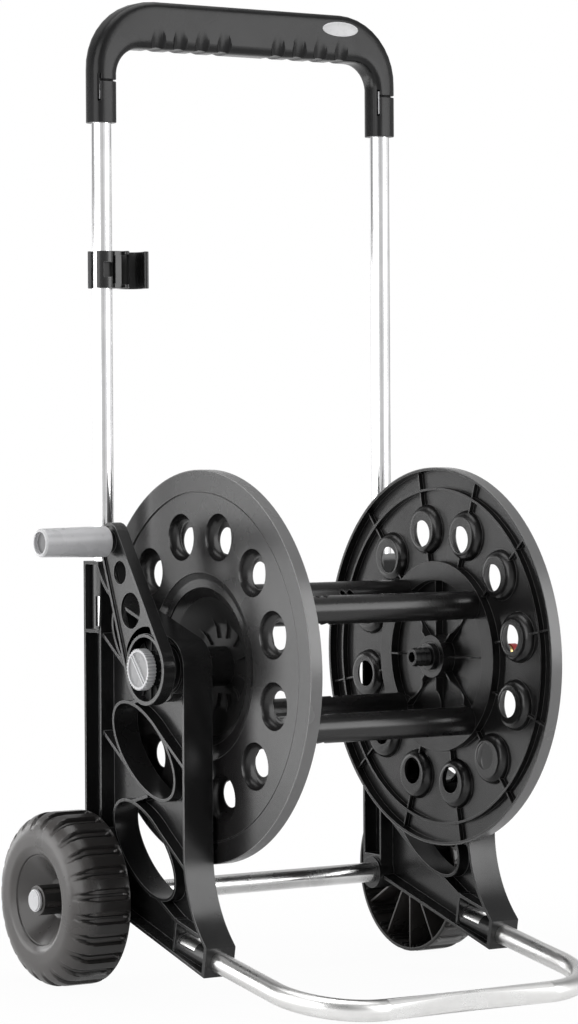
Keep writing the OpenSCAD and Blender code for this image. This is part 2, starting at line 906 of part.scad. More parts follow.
// Places its child at each dish of the ring, with z pointing outward along the axis
module at_dishes(phase) {
    for (i = [0 : hole_count - 1])
        rotate([0, 0, phase + 360 * i / hole_count]) translate([dish_ring_r, 0, 0]) children();
}

// Half section of a bowl, as [r, h], that is flat at its low edge and steep at its rim
function bowl(low_r, rim_r, low_h, rim_h) = [
    for (i = [0 : bowl_steps])
        let (t = 90 * i / bowl_steps)
        [low_r + (rim_r - low_r) * sin(t), low_h + (rim_h - low_h) * (1 - cos(t))]
];

module bowl_solid(low_r, rim_r, low_h, rim_h) {
    rotate_extrude() polygon(concat([[0, low_h]], bowl(low_r, rim_r, low_h, rim_h), [[0, rim_h]]));
}

module hole_bosses(phase) {
    at_dishes(phase) bowl_solid(dish_bottom_r, dish_r + boss_wall, boss_h, face_h - flange_wall / 2);
}

// Each hole sits in the floor of its dish, set toward the axis
module hole_cuts(phase) {
    floor_h = boss_h + hole_lead;
    at_dishes(phase) {
        bowl_solid(dish_bottom_r - boss_wall, dish_r, floor_h, face_h);
        translate([0, 0, face_h - over]) cylinder(h = rim_w, r = dish_r);
        translate([-dish_shift, 0, boss_h - over]) cylinder(h = hole_lead + 2 * over, r = hole_r);
    }
}

module radial_ribs(phase) {
    from = ring_out_r - over;
    for (i = [0 : hole_count - 1])
        rotate([0, 0, phase + 360 * i / hole_count])
            translate([from, -radial_rib_t / 2, face_h - flange_wall - radial_rib_h])
            cube([flange_r - flange_wall / 2 - from, radial_rib_t, radial_rib_h + flange_wall / 2]);
}

// Stubs that the hollow drum bars are pushed on
module bar_stubs(top) {
    for (i = [0 : 3])
        rotate([0, 0, rest_turn + 90 * i]) translate([bar_ring_r, 0, -stub_l])
            cylinder(h = stub_l + top, r = bar_r - bar_wall - stub_fit);
}

// Thin ribs from the boss to the ring, hollowed to a saddle between them
module saddle_rib_set() {
    middle = (hub_boss_r + ring_in_r) / 2;
    difference() {
        for (i = [0 : saddle_ribs - 1])
            rotate([0, 0, 360 * i / saddle_ribs]) translate([hub_boss_r - over, -radial_rib_t / 2, 0])
                cube([ring_in_r - hub_boss_r + 2 * over, radial_rib_t, face_h - over]);
        for (i = [0 : saddle_ribs - 1])
            rotate([0, 0, 360 * i / saddle_ribs]) translate([middle, 0, -saddle_lift])
                rotate([90, 0, 0]) cylinder(h = boss_wall * 2, r = saddle_r, center = true);
    }
}

// Flange with its axis on +Z, its inner lip at z = 0 and its outer face up
module flange(phase, funnel) {
    color(black_plastic) difference() {
        union() {
            rotate_extrude($fn = 128) {
                flange_section();
                ring_section();
            }
            rotate_extrude($fn = 128) {
                if (funnel) funnel_section();
                else boss_section();
            }
            hole_bosses(phase);
            radial_ribs(phase);
            bar_stubs(funnel ? over : face_h - flange_wall / 2);
            if (funnel) funnel_rib_set();
            else saddle_rib_set();
        }
        hole_cuts(phase);
    }
}

left_phase = 14.1;
right_phase = 19.4;

// Mirrors its child to the left side of the cart, where +X points outward again
module on_left() {
    place() mirror([1, 0, 0]) children();
}

module on_right() {
    place() children();
}

module left_flange() {
    on_left() translate([lip_x, 0, 0]) on_reel_axis() flange(left_phase, true);
}

module right_flange() {
    on_right() translate([lip_x, 0, 0]) on_reel_axis() flange(right_phase, false);
}

// Drum bars: hollow, with two slanted slots toward one end

bar_slot_l = 13;
bar_slot_w = 5;
bar_slot_lean = -45;
bar_slot_pitch = 9;
bar_slot_at = 50;
upright_slots = 90;
level_slots = 0;

module drum_bar(turn, end, slot_turn) {
    color(black_plastic) on_right() on_reel_axis() rotate([0, 0, turn])
        translate([bar_ring_r, 0, 0]) difference() {
            cylinder(h = flange_gap, r = bar_r, center = true);
            cylinder(h = flange_gap + over, r = bar_r - bar_wall, center = true);
            for (i = [0, 1])
                rotate([0, 0, slot_turn - turn]) translate([0, 0, end * bar_slot_at + i * bar_slot_pitch])
                    rotate([0, bar_slot_lean, 0])
                    cube([bar_slot_l, bar_d + over, bar_slot_w], center = true);
        }
}

module front_upper_drum_bar() {
    drum_bar(rest_turn + 180, -1, upright_slots);
}

module front_lower_drum_bar() {
    drum_bar(rest_turn + 270, -1, upright_slots);
}

module rear_lower_drum_bar() {
    drum_bar(rest_turn, 1, upright_slots);
}

module rear_upper_drum_bar() {
    drum_bar(rest_turn + 90, 1, level_slots);
}

// Crank side: spindle, arm, knob, pin and grip, with x running outward

spindle_tip_x = crank_out_x - knob_seat - side_play;

module crank_spindle() {
    floor_x = lip_x + funnel_h;
    head_x = floor_x - flange_wall - spindle_head_t;
    square_x = boss_out_x + side_play / 2;
    centre = [0, reel_z];
    color(black_plastic) on_left() difference() {
        union() {
            rod_x(centre, head_x, floor_x - flange_wall, spindle_head_r);
            rod_x(centre, head_x, square_x, spindle_r);
            rod_x(centre, floor_x, boss_in_x - side_play, collar_r);
            translate([square_x - over, -drive_side / 2, reel_z - drive_side / 2])
                cube([spindle_tip_x - square_x + over, drive_side, drive_side]);
        }
        rod_x(centre, spindle_tip_x - screw_l - side_play, spindle_tip_x + over, screw_r + screw_fit);
    }
}

// Turns an outline that stands upright at the reel axis to the crank's rest angle
module at_crank() {
    translate([0, reel_z]) rotate(-crank_tilt) children();
}

crank_pin_at = [crank_r * sin(crank_tilt), reel_z + crank_r * cos(crank_tilt)];

module arm_walls() {
    difference() {
        polygon(arm_outline(arm_hub_r, arm_top_r, crank_r));
        polygon(arm_outline(arm_hub_r - arm_wall, arm_top_r - arm_wall, crank_r));
    }
    translate([0, crank_r]) circle(pin_boss_r);
}

module arm_floor() {
    difference() {
        polygon(arm_outline(arm_hub_r, arm_top_r, crank_r));
        translate([0, small_hole_at]) circle(small_hole_r);
        translate([0, large_hole_at]) circle(large_hole_r);
    }
}

// Radial ribs in the cup round the knob
module cup_rib_set() {
    for (i = [0 : cup_ribs - 1])
        rotate(360 * i / cup_ribs) translate([0, -cup_rib_t / 2]) square([cup_r + over, cup_rib_t]);
}

module crank_arm() {
    wall_x = crank_out_x - arm_w;
    floor_x = crank_out_x - arm_recess;
    cup_x = crank_out_x - cup_depth;
    boss_x = crank_out_x - knob_seat;
    centre = [0, reel_z];
    drive = drive_side + 2 * drive_fit;
    color(black_plastic) on_left() difference() {
        union() {
            difference() {
                union() {
                    along_x(wall_x, crank_out_x) at_crank() arm_walls();
                    along_x(floor_x - arm_floor_t, floor_x) at_crank() arm_floor();
                    rod_x(centre, cup_x - cup_floor_t, crank_out_x, cup_r + cup_wall);
                }
                rod_x(centre, cup_x, crank_out_x + over, cup_r);
            }
            along_x(cup_x - over, cup_x + cup_rib_h) at_crank() cup_rib_set();
            rod_x(centre, crank_in_x, boss_x, drive_boss_r);
        }
        translate([crank_in_x - over, -drive / 2, reel_z - drive / 2])
            cube([crank_hub_w + 2 * over, drive, drive]);
        rod_x(crank_pin_at, wall_x - over, crank_out_x + over, pin_r + stub_fit);
    }
}

// Ridged knob with a coin slot, screwed into the spindle
module crank_knob() {
    seat_x = crank_out_x - knob_seat;
    face_x = seat_x + knob_h;
    knob_r = knob_d / 2;
    centre = [0, reel_z];
    color(grey_plastic) on_left() difference() {
        union() {
            difference() {
                rod_x(centre, seat_x, face_x, knob_r);
                rod_x(centre, face_x - knob_dish, face_x + over, knob_r - knob_rim);
            }
            translate([face_x - knob_dish - over, 0, reel_z]) rotate([knob_slot_turn, 0, 0])
                translate([0, -knob_r + knob_rim / 2, -knob_bar_w / 2])
                cube([knob_dish + over, knob_d - knob_rim, knob_bar_w]);
            rod_x(centre, spindle_tip_x - screw_l, seat_x + over, screw_r);
        }
        translate([face_x - knob_dish, 0, reel_z]) rotate([knob_slot_turn, 0, 0])
            translate([0, -knob_r + knob_rim, -knob_slot_w / 2])
            cube([knob_dish + over, knob_d - 2 * knob_rim, knob_slot_w]);
        for (i = [0 : knob_ridges - 1]) {
            a = 360 * i / knob_ridges;
            rod_x([knob_r * cos(a), reel_z + knob_r * sin(a)], seat_x - over, face_x + over, knob_groove_r);
        }
    }
}

grip_start_x = crank_out_x + pin_collar_t + run_fit;
grip_end_x = grip_start_x + crank_grip_l;
snap_end_x = grip_end_x - grip_end_recess - grip_end_t;
snap_start_x = snap_end_x - snap_l - 2 * snap_room;

module crank_pin() {
    color(black_plastic) on_left() {
        rod_x(crank_pin_at, crank_out_x - arm_w - pin_head_t, crank_out_x - arm_w, pin_head_r);
        rod_x(crank_pin_at, crank_out_x - arm_w - pin_head_t, snap_start_x + snap_room + over, pin_r);
        rod_x(crank_pin_at, crank_out_x, crank_out_x + pin_collar_t, pin_collar_r);
        rod_x(crank_pin_at, snap_start_x + snap_room, snap_end_x - snap_room, snap_r);
    }
}

// Tapered grip with a closed, recessed end, turning on the pin
module crank_grip() {
    base_r = crank_grip_d / 2;
    tip_r = base_r - grip_taper;
    tip = crank_grip_l;
    snap_from = snap_start_x - grip_start_x;
    snap_to = snap_end_x - grip_start_x;
    color(grey_plastic) on_left() translate([grip_start_x, crank_pin_at[0], crank_pin_at[1]])
        rotate([0, 90, 0]) rotate_extrude($fn = 96) polygon([
            [pin_r + run_fit, 0], [base_r - grip_round, 0], [base_r, grip_round],
            [tip_r, tip - grip_round], [tip_r - grip_round, tip],
            [tip_r - 2 * grip_round, tip], [tip_r - 2 * grip_round, tip - grip_end_recess],
            [0, tip - grip_end_recess], [0, snap_to],
            [snap_r + snap_room, snap_to], [snap_r + snap_room, snap_from],
            [pin_r + run_fit, snap_from]
        ]);
}

// Inlet side: hollow spindle, retaining nut, swivel nipple with its collar and seals, with x running outward

nut_start_x = boss_out_x + side_play;
nut_end_x = nut_start_x + nut_l;
nipple_seat_x = spindle_end_x + inlet_play;
spigot_tip_x = nipple_seat_x - inlet_spigot_l;
collar_x = nut_end_x + inlet_neck_l;
nose_x = collar_x + collar_ring_l;
nose_tip_x = nose_x + inlet_nose_l;

module inlet_spindle() {
    centre = [0, reel_z];
    start = lip_x - hub_boss_h;
    color(black_plastic) on_right() difference() {
        union() {
            rod_x(centre, start, spindle_end_x, spindle_r);
            rod_x(centre, lip_x + face_h, boss_in_x - side_play, collar_r);
        }
        rod_x(centre, start - over, spindle_end_x + over, water_r);
    }
}

module inlet_nut() {
    centre = [0, reel_z];
    color(black_plastic) on_right() difference() {
        rod_x(centre, nut_start_x, nut_end_x, nut_r);
        rod_x(centre, nut_start_x - over, nut_end_x - nut_lip_t, spindle_r + screw_fit);
        rod_x(centre, nut_end_x - nut_lip_t - over, nut_end_x + over, inlet_nose_r + inlet_play);
        for (i = [0 : nut_lobes - 1]) {
            a = 360 * i / nut_lobes;
            at = [nut_r * cos(a), reel_z + nut_r * sin(a)];
            rod_x(at, nut_start_x - over, nut_end_x + over, nut_lobe_r);
        }
    }
}

// Half section of the nipple, as [r, x]: spigot, flange, neck, seat of the collar and nose
module nipple_section() {
    polygon([
        [inlet_bore_r, spigot_tip_x], [inlet_spigot_r, spigot_tip_x],
        [inlet_spigot_r, nipple_seat_x], [inlet_flange_r, nipple_seat_x],
        [inlet_flange_r, nipple_seat_x + inlet_flange_t], [inlet_nose_r, nipple_seat_x + inlet_flange_t],
        [inlet_nose_r, collar_x], [collar_seat_r, collar_x],
        [collar_seat_r, nose_x], [inlet_nose_r, nose_x],
        [inlet_nose_r, nose_tip_x - inlet_nose_edge], [inlet_nose_r - inlet_nose_edge, nose_tip_x],
        [inlet_bore_r, nose_tip_x]
    ]);
}

module inlet_nipple() {
    centre = [0, reel_z];
    color(brass) on_right() difference() {
        on_reel_axis() rotate_extrude() nipple_section();
        for (at = seal_at) difference() {
            rod_x(centre, spigot_tip_x + at, spigot_tip_x + at + seal_t, inlet_spigot_r + over);
            rod_x(centre, spigot_tip_x, nipple_seat_x, inlet_spigot_r - seal_depth);
        }
    }
}

// Split ring that snaps into its seat on the nose and stops the hose connector
module inlet_collar() {
    centre = [0, reel_z];
    color(red_plastic) on_right() difference() {
        rod_x(centre, collar_x, nose_x, collar_ring_r);
        rod_x(centre, collar_x - over, nose_x + over, collar_seat_r + collar_fit);
        translate([collar_x - over, -collar_slit / 2, reel_z - collar_ring_r - over])
            cube([collar_ring_l + 2 * over, collar_slit, collar_ring_r + over]);
    }
}

// Two rings in the grooves of the nipple's spigot
module inlet_seals() {
    ring_r = (seal_depth - run_fit) / 2;
    color(black_rubber) on_right() for (at = seal_at)
        translate([spigot_tip_x + at + seal_t / 2, 0, reel_z]) rotate([0, 90, 0])
            rotate_extrude() translate([inlet_spigot_r - ring_r, 0]) circle(ring_r);
}

// Ringed tail that the hose is pushed on inside the drum
module hose_tail() {
    seat_x = lip_x - hub_boss_h;
    root_x = seat_x - tail_shoulder_t;
    centre = [0, reel_z];
    barb_pitch = (root_x - tail_tip_x) / tail_barbs;
    color(black_plastic) on_right() difference() {
        union() {
            rod_x(centre, root_x, seat_x, tail_shoulder_r);
            rod_x(centre, seat_x - over, seat_x + tail_root_l, water_r - screw_fit);
            rod_x(centre, tail_tip_x, root_x + over, tail_r);
            for (i = [0 : tail_barbs - 1])
                translate([tail_tip_x + i * barb_pitch, 0, reel_z]) rotate([0, 90, 0])
                    cylinder(h = tail_barb_l, r1 = tail_r, r2 = tail_barb_r);
        }
        rod_x(centre, tail_tip_x - over, seat_x + tail_root_l + over, tail_bore_r);
    }
}

// Wheels and hub caps, with x running outward

// Half section of the wheel, as [r, x]: tyre, sidewall, dish and hub barrel in one shell
module wheel_section() {
    bore_r = tube_r + run_fit;
    floor_x = wheel_w - dish_depth;
    hub_in_x = boss_out_x + side_play - wheel_in_x;
    hub_out_x = wheel_w - barrel_set_back;
    shoulder = [wheel_r - shoulder_r, wheel_w - shoulder_r];
    polygon(concat(
        [[wheel_r - tyre_wall, 0], [wheel_r - inner_shoulder_drop, 0], [wheel_r, inner_shoulder]],
        arc(shoulder, shoulder_r, 0, 90, shoulder_steps),
        [[dish_edge_r, wheel_w - dish_lip_drop], [dish_edge_r, wheel_w - dish_lip_drop - dish_step]],
        [[dish_floor_r, floor_x]],
        [[barrel_r, floor_x], [barrel_r, hub_out_x], [bore_r, hub_out_x], [bore_r, hub_in_x]],
        [[barrel_r, hub_in_x], [barrel_r, floor_x - tyre_wall]],
        [[dish_floor_r + dish_step, floor_x - tyre_wall]],
        [[dish_edge_r + dish_wall, wheel_w - dish_lip_drop - tyre_wall]],
        arc(shoulder, shoulder_r - tyre_wall, 90, 0, shoulder_steps)
    ));
}

module wheel() {
    color(black_plastic) translate([wheel_in_x, axle_y, axle_z]) rotate([0, 90, 0]) difference() {
        union() {
            rotate_extrude($fn = 128) wheel_section();
            for (i = [0 : wheel_ribs - 1])
                rotate([0, 0, 360 * i / wheel_ribs])
                    translate([barrel_r - over, -wheel_rib_t / 2, wheel_rib_set_back])
                    cube([wheel_r - tyre_wall / 2 - barrel_r, wheel_rib_t,
                        wheel_w - dish_depth - tyre_wall / 2 - wheel_rib_set_back]);
        }
        for (i = [0 : lug_count - 1])
            rotate([0, 0, 360 * (i + 0.5) / lug_count]) translate([wheel_r + groove_lift, 0, groove_start])
                cylinder(h = wheel_w, r = groove_r);
    }
}

module left_wheel() {
    on_left() wheel();
}

module right_wheel() {
    on_right() wheel();
}

module hub_cap() {
    centre = [axle_y, axle_z];
    stem_r = tube_bore_r - tube_fit;
    color(grey_plastic) difference() {
        union() {
            rod_x(centre, cap_seat_x, cap_seat_x + cap_t - cap_edge, cap_r);
            rod_x(centre, cap_seat_x, cap_seat_x + cap_t, cap_r - cap_edge);
            rod_x(centre, cap_seat_x - cap_stem_l, cap_seat_x + over, stem_r);
        }
        rod_x(centre, cap_seat_x - cap_stem_l - over, cap_seat_x, stem_r - cap_stem_wall);
    }
}

module left_hub_cap() {
    on_left() hub_cap();
}

module right_hub_cap() {
    on_right() hub_cap();
}

left_side_frame();
right_side_frame();
foot_bar();
wheel_axle();
left_handle_tube();
right_handle_tube();
handle_grip();
nozzle_clip();
left_flange();
right_flange();
front_upper_drum_bar();
front_lower_drum_bar();
rear_lower_drum_bar();
rear_upper_drum_bar();
crank_spindle();
crank_arm();
crank_knob();
crank_pin();
crank_grip();
inlet_spindle();
hose_tail();
inlet_nut();
inlet_nipple();
inlet_collar();
inlet_seals();
left_wheel();
right_wheel();
left_hub_cap();
right_hub_cap();
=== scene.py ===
import bpy
import math
from mathutils import Matrix, Vector
from mathutils.bvhtree import BVHTree


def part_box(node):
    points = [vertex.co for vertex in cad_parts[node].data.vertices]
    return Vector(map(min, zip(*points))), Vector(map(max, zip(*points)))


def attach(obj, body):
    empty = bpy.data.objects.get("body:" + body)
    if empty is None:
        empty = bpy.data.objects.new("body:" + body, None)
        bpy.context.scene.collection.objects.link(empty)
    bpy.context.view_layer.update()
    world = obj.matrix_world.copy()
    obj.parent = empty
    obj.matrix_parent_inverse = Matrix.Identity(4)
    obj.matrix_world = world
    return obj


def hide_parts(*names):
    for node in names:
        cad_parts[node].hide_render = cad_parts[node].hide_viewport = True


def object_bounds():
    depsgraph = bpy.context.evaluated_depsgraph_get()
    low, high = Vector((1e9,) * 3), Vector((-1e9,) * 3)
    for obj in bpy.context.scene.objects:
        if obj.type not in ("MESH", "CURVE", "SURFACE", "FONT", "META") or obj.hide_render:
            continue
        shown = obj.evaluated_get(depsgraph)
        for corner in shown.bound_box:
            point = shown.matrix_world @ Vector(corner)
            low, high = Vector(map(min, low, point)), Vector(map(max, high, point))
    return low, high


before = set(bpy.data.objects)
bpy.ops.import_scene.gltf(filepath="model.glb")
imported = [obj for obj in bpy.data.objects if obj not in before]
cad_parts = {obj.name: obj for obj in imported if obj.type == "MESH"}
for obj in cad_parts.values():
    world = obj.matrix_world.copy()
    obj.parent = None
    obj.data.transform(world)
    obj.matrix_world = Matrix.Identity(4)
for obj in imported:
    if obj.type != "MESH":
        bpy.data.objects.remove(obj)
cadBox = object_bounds()
scene = bpy.context.scene
scene.view_settings.view_transform = "Standard"
print("frame loaded,", len(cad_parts), "solids")

# cart coordinates (mid-plane, reel axis, floor) to the part's frame, in metres
cartShift = Vector((0.01575, 0.010, 0.0))


def cart(x, y, z):
    return Vector((x, y, z)) / 1000 + cartShift


# camera at the photograph's place
cameraView = {
    "place": (-1.98871, -2.91296, 0.51840),
    "yaw": 33.88, "pitch": 1.03, "roll": -0.33,
    "focalPixels": 3676.45, "longSide": 1024, "sensor": 36.0,
    "nearest": 0.05, "furthest": 50.0,
}


def setCamera():
    view = cameraView
    yaw, pitch, roll = (math.radians(view[k]) for k in ("yaw", "pitch", "roll"))
    level = math.cos(pitch)
    ahead = Vector((math.sin(yaw) * level, math.cos(yaw) * level, -math.sin(pitch)))
    side = Vector((math.cos(yaw), -math.sin(yaw), 0))
    upward = side.cross(ahead)
    side = side * math.cos(roll) + upward * math.sin(roll)
    upward = side.cross(ahead)
    data = bpy.data.cameras.new("photoCamera")
    camera = bpy.data.objects.new("photoCamera", data)
    scene.collection.objects.link(camera)
    turn = Matrix((side, upward, -ahead)).transposed()
    camera.matrix_world = Matrix.Translation(view["place"]) @ turn.to_4x4()
    data.sensor_width = view["sensor"]
    data.lens = view["focalPixels"] / view["longSide"] * view["sensor"]
    data.clip_start = view["nearest"]
    data.clip_end = view["furthest"]
    scene.camera = camera


setCamera()


# picking and small edit helpers
def pickNone():
    if bpy.context.mode != "OBJECT":
        bpy.ops.object.mode_set(mode="OBJECT")
    bpy.ops.object.select_all(action="DESELECT")


def pickOnly(piece):
    pickNone()
    piece.select_set(True)
    bpy.context.view_layer.objects.active = piece


def editWhole(piece):
    pickOnly(piece)
    bpy.ops.object.mode_set(mode="EDIT")
    bpy.ops.mesh.select_all(action="SELECT")


def endEdit():
    bpy.ops.object.mode_set(mode="OBJECT")


def applyAll(piece):
    pickOnly(piece)
    for modifier in list(piece.modifiers):
        bpy.ops.object.modifier_apply(modifier=modifier.name)


def surfaceOf(mesh):
    # for the nearest point on a mesh, or where a ray meets it
    mesh.calc_loop_triangles()
    points = [vertex.co for vertex in mesh.vertices]
    return BVHTree.FromPolygons(points, [list(face.vertices) for face in mesh.loop_triangles])


# stage: pale floor and plain soft light
stageLook = {
    "floorSize": 2.6,
    "floorDrop": 0.0004,
    "floorColour": (0.80, 0.80, 0.80, 1),
    "shadowNear": 0.035,       # share of the floor's own shading close to the cart
    "fadeFrom": 0.28, "fadeTo": 0.85,
    "mirrorFrom": 0.02, "mirrorTo": 0.50,       # reflections see the floor white away from the cart
    "ambient": 0.06,
    "lamps": [
        # name, place, aim, width, height, watts
        ("leftSoftbox", (-2.6, -0.35, 1.30), (0.0, 0.0, 0.45), 2.8, 2.4, 46.0),
        ("rearLeftPanel", (-1.18, 0.892, 0.395), (-0.62, 0.058, 0.395), 0.86, 0.75, 6.4),
        ("rearPanel", (-0.46, 1.378, 0.395), (0.10, 0.549, 0.395), 0.30, 0.75, 2.2),
        ("frontSoftbox", (1.55, -2.45, 1.36), (0.0, 0.0, 0.45), 1.5, 2.3, 44.0),
        ("topSoftbox", (0.0, 0.2, 3.0), (0.0, 0.1, 0.4), 2.4, 2.4, 40.0),
    ],
    # bearing from +Y toward +X in degrees, and the grey that glossy surfaces see there
    "walls": [
        (-180, 0.85), (-165, 0.58), (-150, 0.62), (-128, 0.85), (-110, 1.0), (-80, 1.0), (-52, 0.55),
        (-36, 0.13), (-26, 0.40), (-12, 1.0), (20, 1.0), (55, 1.0), (72, 0.55), (88, 0.50), (104, 0.95),
        (125, 1.0), (146, 0.85), (165, 0.95), (180, 0.85),
    ],
    # height of the direction, and how much of that grey is left there
    "heights": [(-1.0, 0.9), (-0.25, 1.0), (0.12, 1.0), (0.40, 0.45), (1.0, 0.40)],
}


plainWhite = (1, 1, 1, 1)


def link(tree, fromSocket, toSocket):
    tree.links.new(fromSocket, toSocket)


def feed(tree, socket, value):
    # a number, a vector or a colour is set on the socket, and anything else is linked to it
    if isinstance(value, (int, float)):
        socket.default_value = value
    elif isinstance(value, tuple):
        socket.default_value = value + (1,) * (len(socket.default_value) - len(value))
    else:
        link(tree, value, socket)


def mathNode(tree, operation, *values, clamp=False):
    node = tree.nodes.new("ShaderNodeMath")
    node.operation = operation
    node.use_clamp = clamp
    for socket, value in zip(node.inputs, values):
        feed(tree, socket, value)
    return node.outputs[0]


def vectorNode(tree, operation, *values):
    node = tree.nodes.new("ShaderNodeVectorMath")
    node.operation = operation
    for socket, value in zip(node.inputs, values):
        feed(tree, socket, value)
    return node.outputs["Value" if operation == "LENGTH" else "Vector"]


def rangeNode(tree, value, fromMin, fromMax, toMin, toMax, soft=False):
    node = tree.nodes.new("ShaderNodeMapRange")
    node.interpolation_type = "SMOOTHSTEP" if soft else "LINEAR"
    labels = ("Value", "From Min", "From Max", "To Min", "To Max")
    for label, entry in zip(labels, (value, fromMin, fromMax, toMin, toMax)):
        feed(tree, node.inputs[label], entry)
    return node.outputs["Result"]


def rampNode(tree, fac, stops):
    node = tree.nodes.new("ShaderNodeValToRGB")
    ramp = node.color_ramp
    ramp.interpolation = "EASE"
    while len(ramp.elements) < len(stops):
        ramp.elements.new(0.5)
    for element, (place, grey) in zip(ramp.elements, stops):
        element.position = place
        element.color = (grey, grey, grey, 1)
    link(tree, fac, node.inputs["Fac"])
    return node.outputs["Color"]


def mixColour(tree, fac, a, b, blend="MIX"):
    node = tree.nodes.new("ShaderNodeMix")
    node.data_type = "RGBA"
    node.blend_type = blend
    # the node's colours are its seventh and eighth sockets
    for socket, value in ((node.inputs[0], fac), (node.inputs[6], a), (node.inputs[7], b)):
        feed(tree, socket, value)
    return node.outputs[2]


def mixShader(tree, fac, a, b):
    node = tree.nodes.new("ShaderNodeMixShader")
    for socket, value in zip(node.inputs, (fac, a, b)):
        link(tree, value, socket)
    return node.outputs[0]


def backgroundNode(tree, colour, strength=1.0):
    node = tree.nodes.new("ShaderNodeBackground")
    feed(tree, node.inputs["Color"], colour)
    node.inputs["Strength"].default_value = strength
    return node.outputs[0]


def setWorld():
    world = bpy.data.worlds.new("paleStudio")
    scene.world = world
    world.use_nodes = True
    tree = world.node_tree
    tree.nodes.clear()
    # reflected surroundings: white walls with a few grey gaps between them
    spot = tree.nodes.new("ShaderNodeTexCoord")
    parts = tree.nodes.new("ShaderNodeSeparateXYZ")
    link(tree, spot.outputs["Generated"], parts.inputs[0])
    bearing = mathNode(tree, "ARCTAN2", parts.outputs["X"], parts.outputs["Y"])
    share = mathNode(tree, "MULTIPLY_ADD", bearing, 1 / (2 * math.pi), 0.5)
    walls = rampNode(tree, share, [(turn / 360 + 0.5, grey) for turn, grey in stageLook["walls"]])
    height = mathNode(tree, "MULTIPLY_ADD", parts.outputs["Z"], 0.5, 0.5)
    dimming = rampNode(tree, height, [(z / 2 + 0.5, grey) for z, grey in stageLook["heights"]])
    walls = mixColour(tree, 1.0, walls, dimming, "MULTIPLY")
    path = tree.nodes.new("ShaderNodeLightPath")
    mirrored = mixShader(tree, path.outputs["Is Glossy Ray"],
                         backgroundNode(tree, plainWhite), backgroundNode(tree, walls))
    soft = backgroundNode(tree, plainWhite, stageLook["ambient"])
    seen = mathNode(tree, "MAXIMUM", path.outputs["Is Camera Ray"], path.outputs["Is Glossy Ray"])
    seen = mathNode(tree, "MAXIMUM", seen, path.outputs["Is Transmission Ray"])
    out = tree.nodes.new("ShaderNodeOutputWorld")
    link(tree, mixShader(tree, seen, soft, mirrored), out.inputs["Surface"])


def setFloor():
    look = stageLook
    pickNone()
    bpy.ops.mesh.primitive_plane_add(size=look["floorSize"], location=(0, 0, -look["floorDrop"]))
    floor = bpy.context.object
    floor.name = "paleFloor"
    material = bpy.data.materials.new("paleFloor")
    material.use_nodes = True
    tree = material.node_tree
    tree.nodes.clear()
    matt = tree.nodes.new("ShaderNodeBsdfDiffuse")
    matt.inputs["Color"].default_value = look["floorColour"]
    glow = tree.nodes.new("ShaderNodeEmission")
    glow.inputs["Color"].default_value = plainWhite
    # far from the cart the floor is plain white, close to it part of its shadow stays
    spot = tree.nodes.new("ShaderNodeTexCoord")
    away = vectorNode(tree, "LENGTH", spot.outputs["Object"])
    fade = rangeNode(tree, away, look["fadeFrom"], look["fadeTo"], 1 - look["shadowNear"], 1.0, soft=True)
    mirror = rangeNode(tree, away, look["mirrorFrom"], look["mirrorTo"], 0.0, 1.0, soft=True)
    path = tree.nodes.new("ShaderNodeLightPath")
    straight = mathNode(tree, "MAXIMUM", path.outputs["Is Camera Ray"], path.outputs["Is Transmission Ray"])
    share = mathNode(tree, "ADD", mathNode(tree, "MULTIPLY", fade, straight),
                     mathNode(tree, "MULTIPLY", mirror, path.outputs["Is Glossy Ray"]), clamp=True)
    out = tree.nodes.new("ShaderNodeOutputMaterial")
    link(tree, mixShader(tree, share, matt.outputs[0], glow.outputs[0]), out.inputs["Surface"])
    floor.data.materials.append(material)


def setLamps():
    for name, place, aim, width, height, watts in stageLook["lamps"]:
        data = bpy.data.lights.new(name, "AREA")
        data.shape = "RECTANGLE"
        data.size = width
        data.size_y = height
        data.energy = watts
        lamp = bpy.data.objects.new(name, data)
        scene.collection.objects.link(lamp)
        lamp.location = place
        lamp.rotation_euler = (Vector(aim) - Vector(place)).to_track_quat("-Z", "Y").to_euler()


setWorld()
setFloor()
setLamps()
print("stage set")


# shared surface effects
effectRanges = {
    # from low, from high, to low, to high
    "cloud": (0.3, 0.7, 0.0, 1.0),
    "highlight": (0.3, 0.65, 0.35, 1.0),
    "facingUp": (0.3, 1.0, 0.0, 1.0),
    "dust": (0.35, 0.7, 0.2, 1.0),
    "smudge": (0.35, 0.7, 0.0, 1.0),
}
smudgeScale = 38.0


def newGroup(name, inputs, outputs):
    group = bpy.data.node_groups.new(name, "ShaderNodeTree")
    for label, value in inputs:
        socket = group.interface.new_socket(name=label, in_out="INPUT", socket_type="NodeSocketFloat")
        socket.default_value = value
    for label in outputs:
        group.interface.new_socket(name=label, in_out="OUTPUT", socket_type="NodeSocketFloat")
    return group, group.nodes.new("NodeGroupInput"), group.nodes.new("NodeGroupOutput")


def objectSpot(tree):
    return tree.nodes.new("ShaderNodeTexCoord").outputs["Object"]


def markNode(tree, name):
    node = tree.nodes.new("ShaderNodeAttribute")
    node.attribute_name = name
    return node.outputs["Fac"]


def noiseNode(tree, vector, scale, detail=3.0, rough=0.55):
    node = tree.nodes.new("ShaderNodeTexNoise")
    for label, value in (("Vector", vector), ("Scale", scale), ("Detail", detail), ("Roughness", rough)):
        feed(tree, node.inputs[label], value)
    return node.outputs["Fac"]


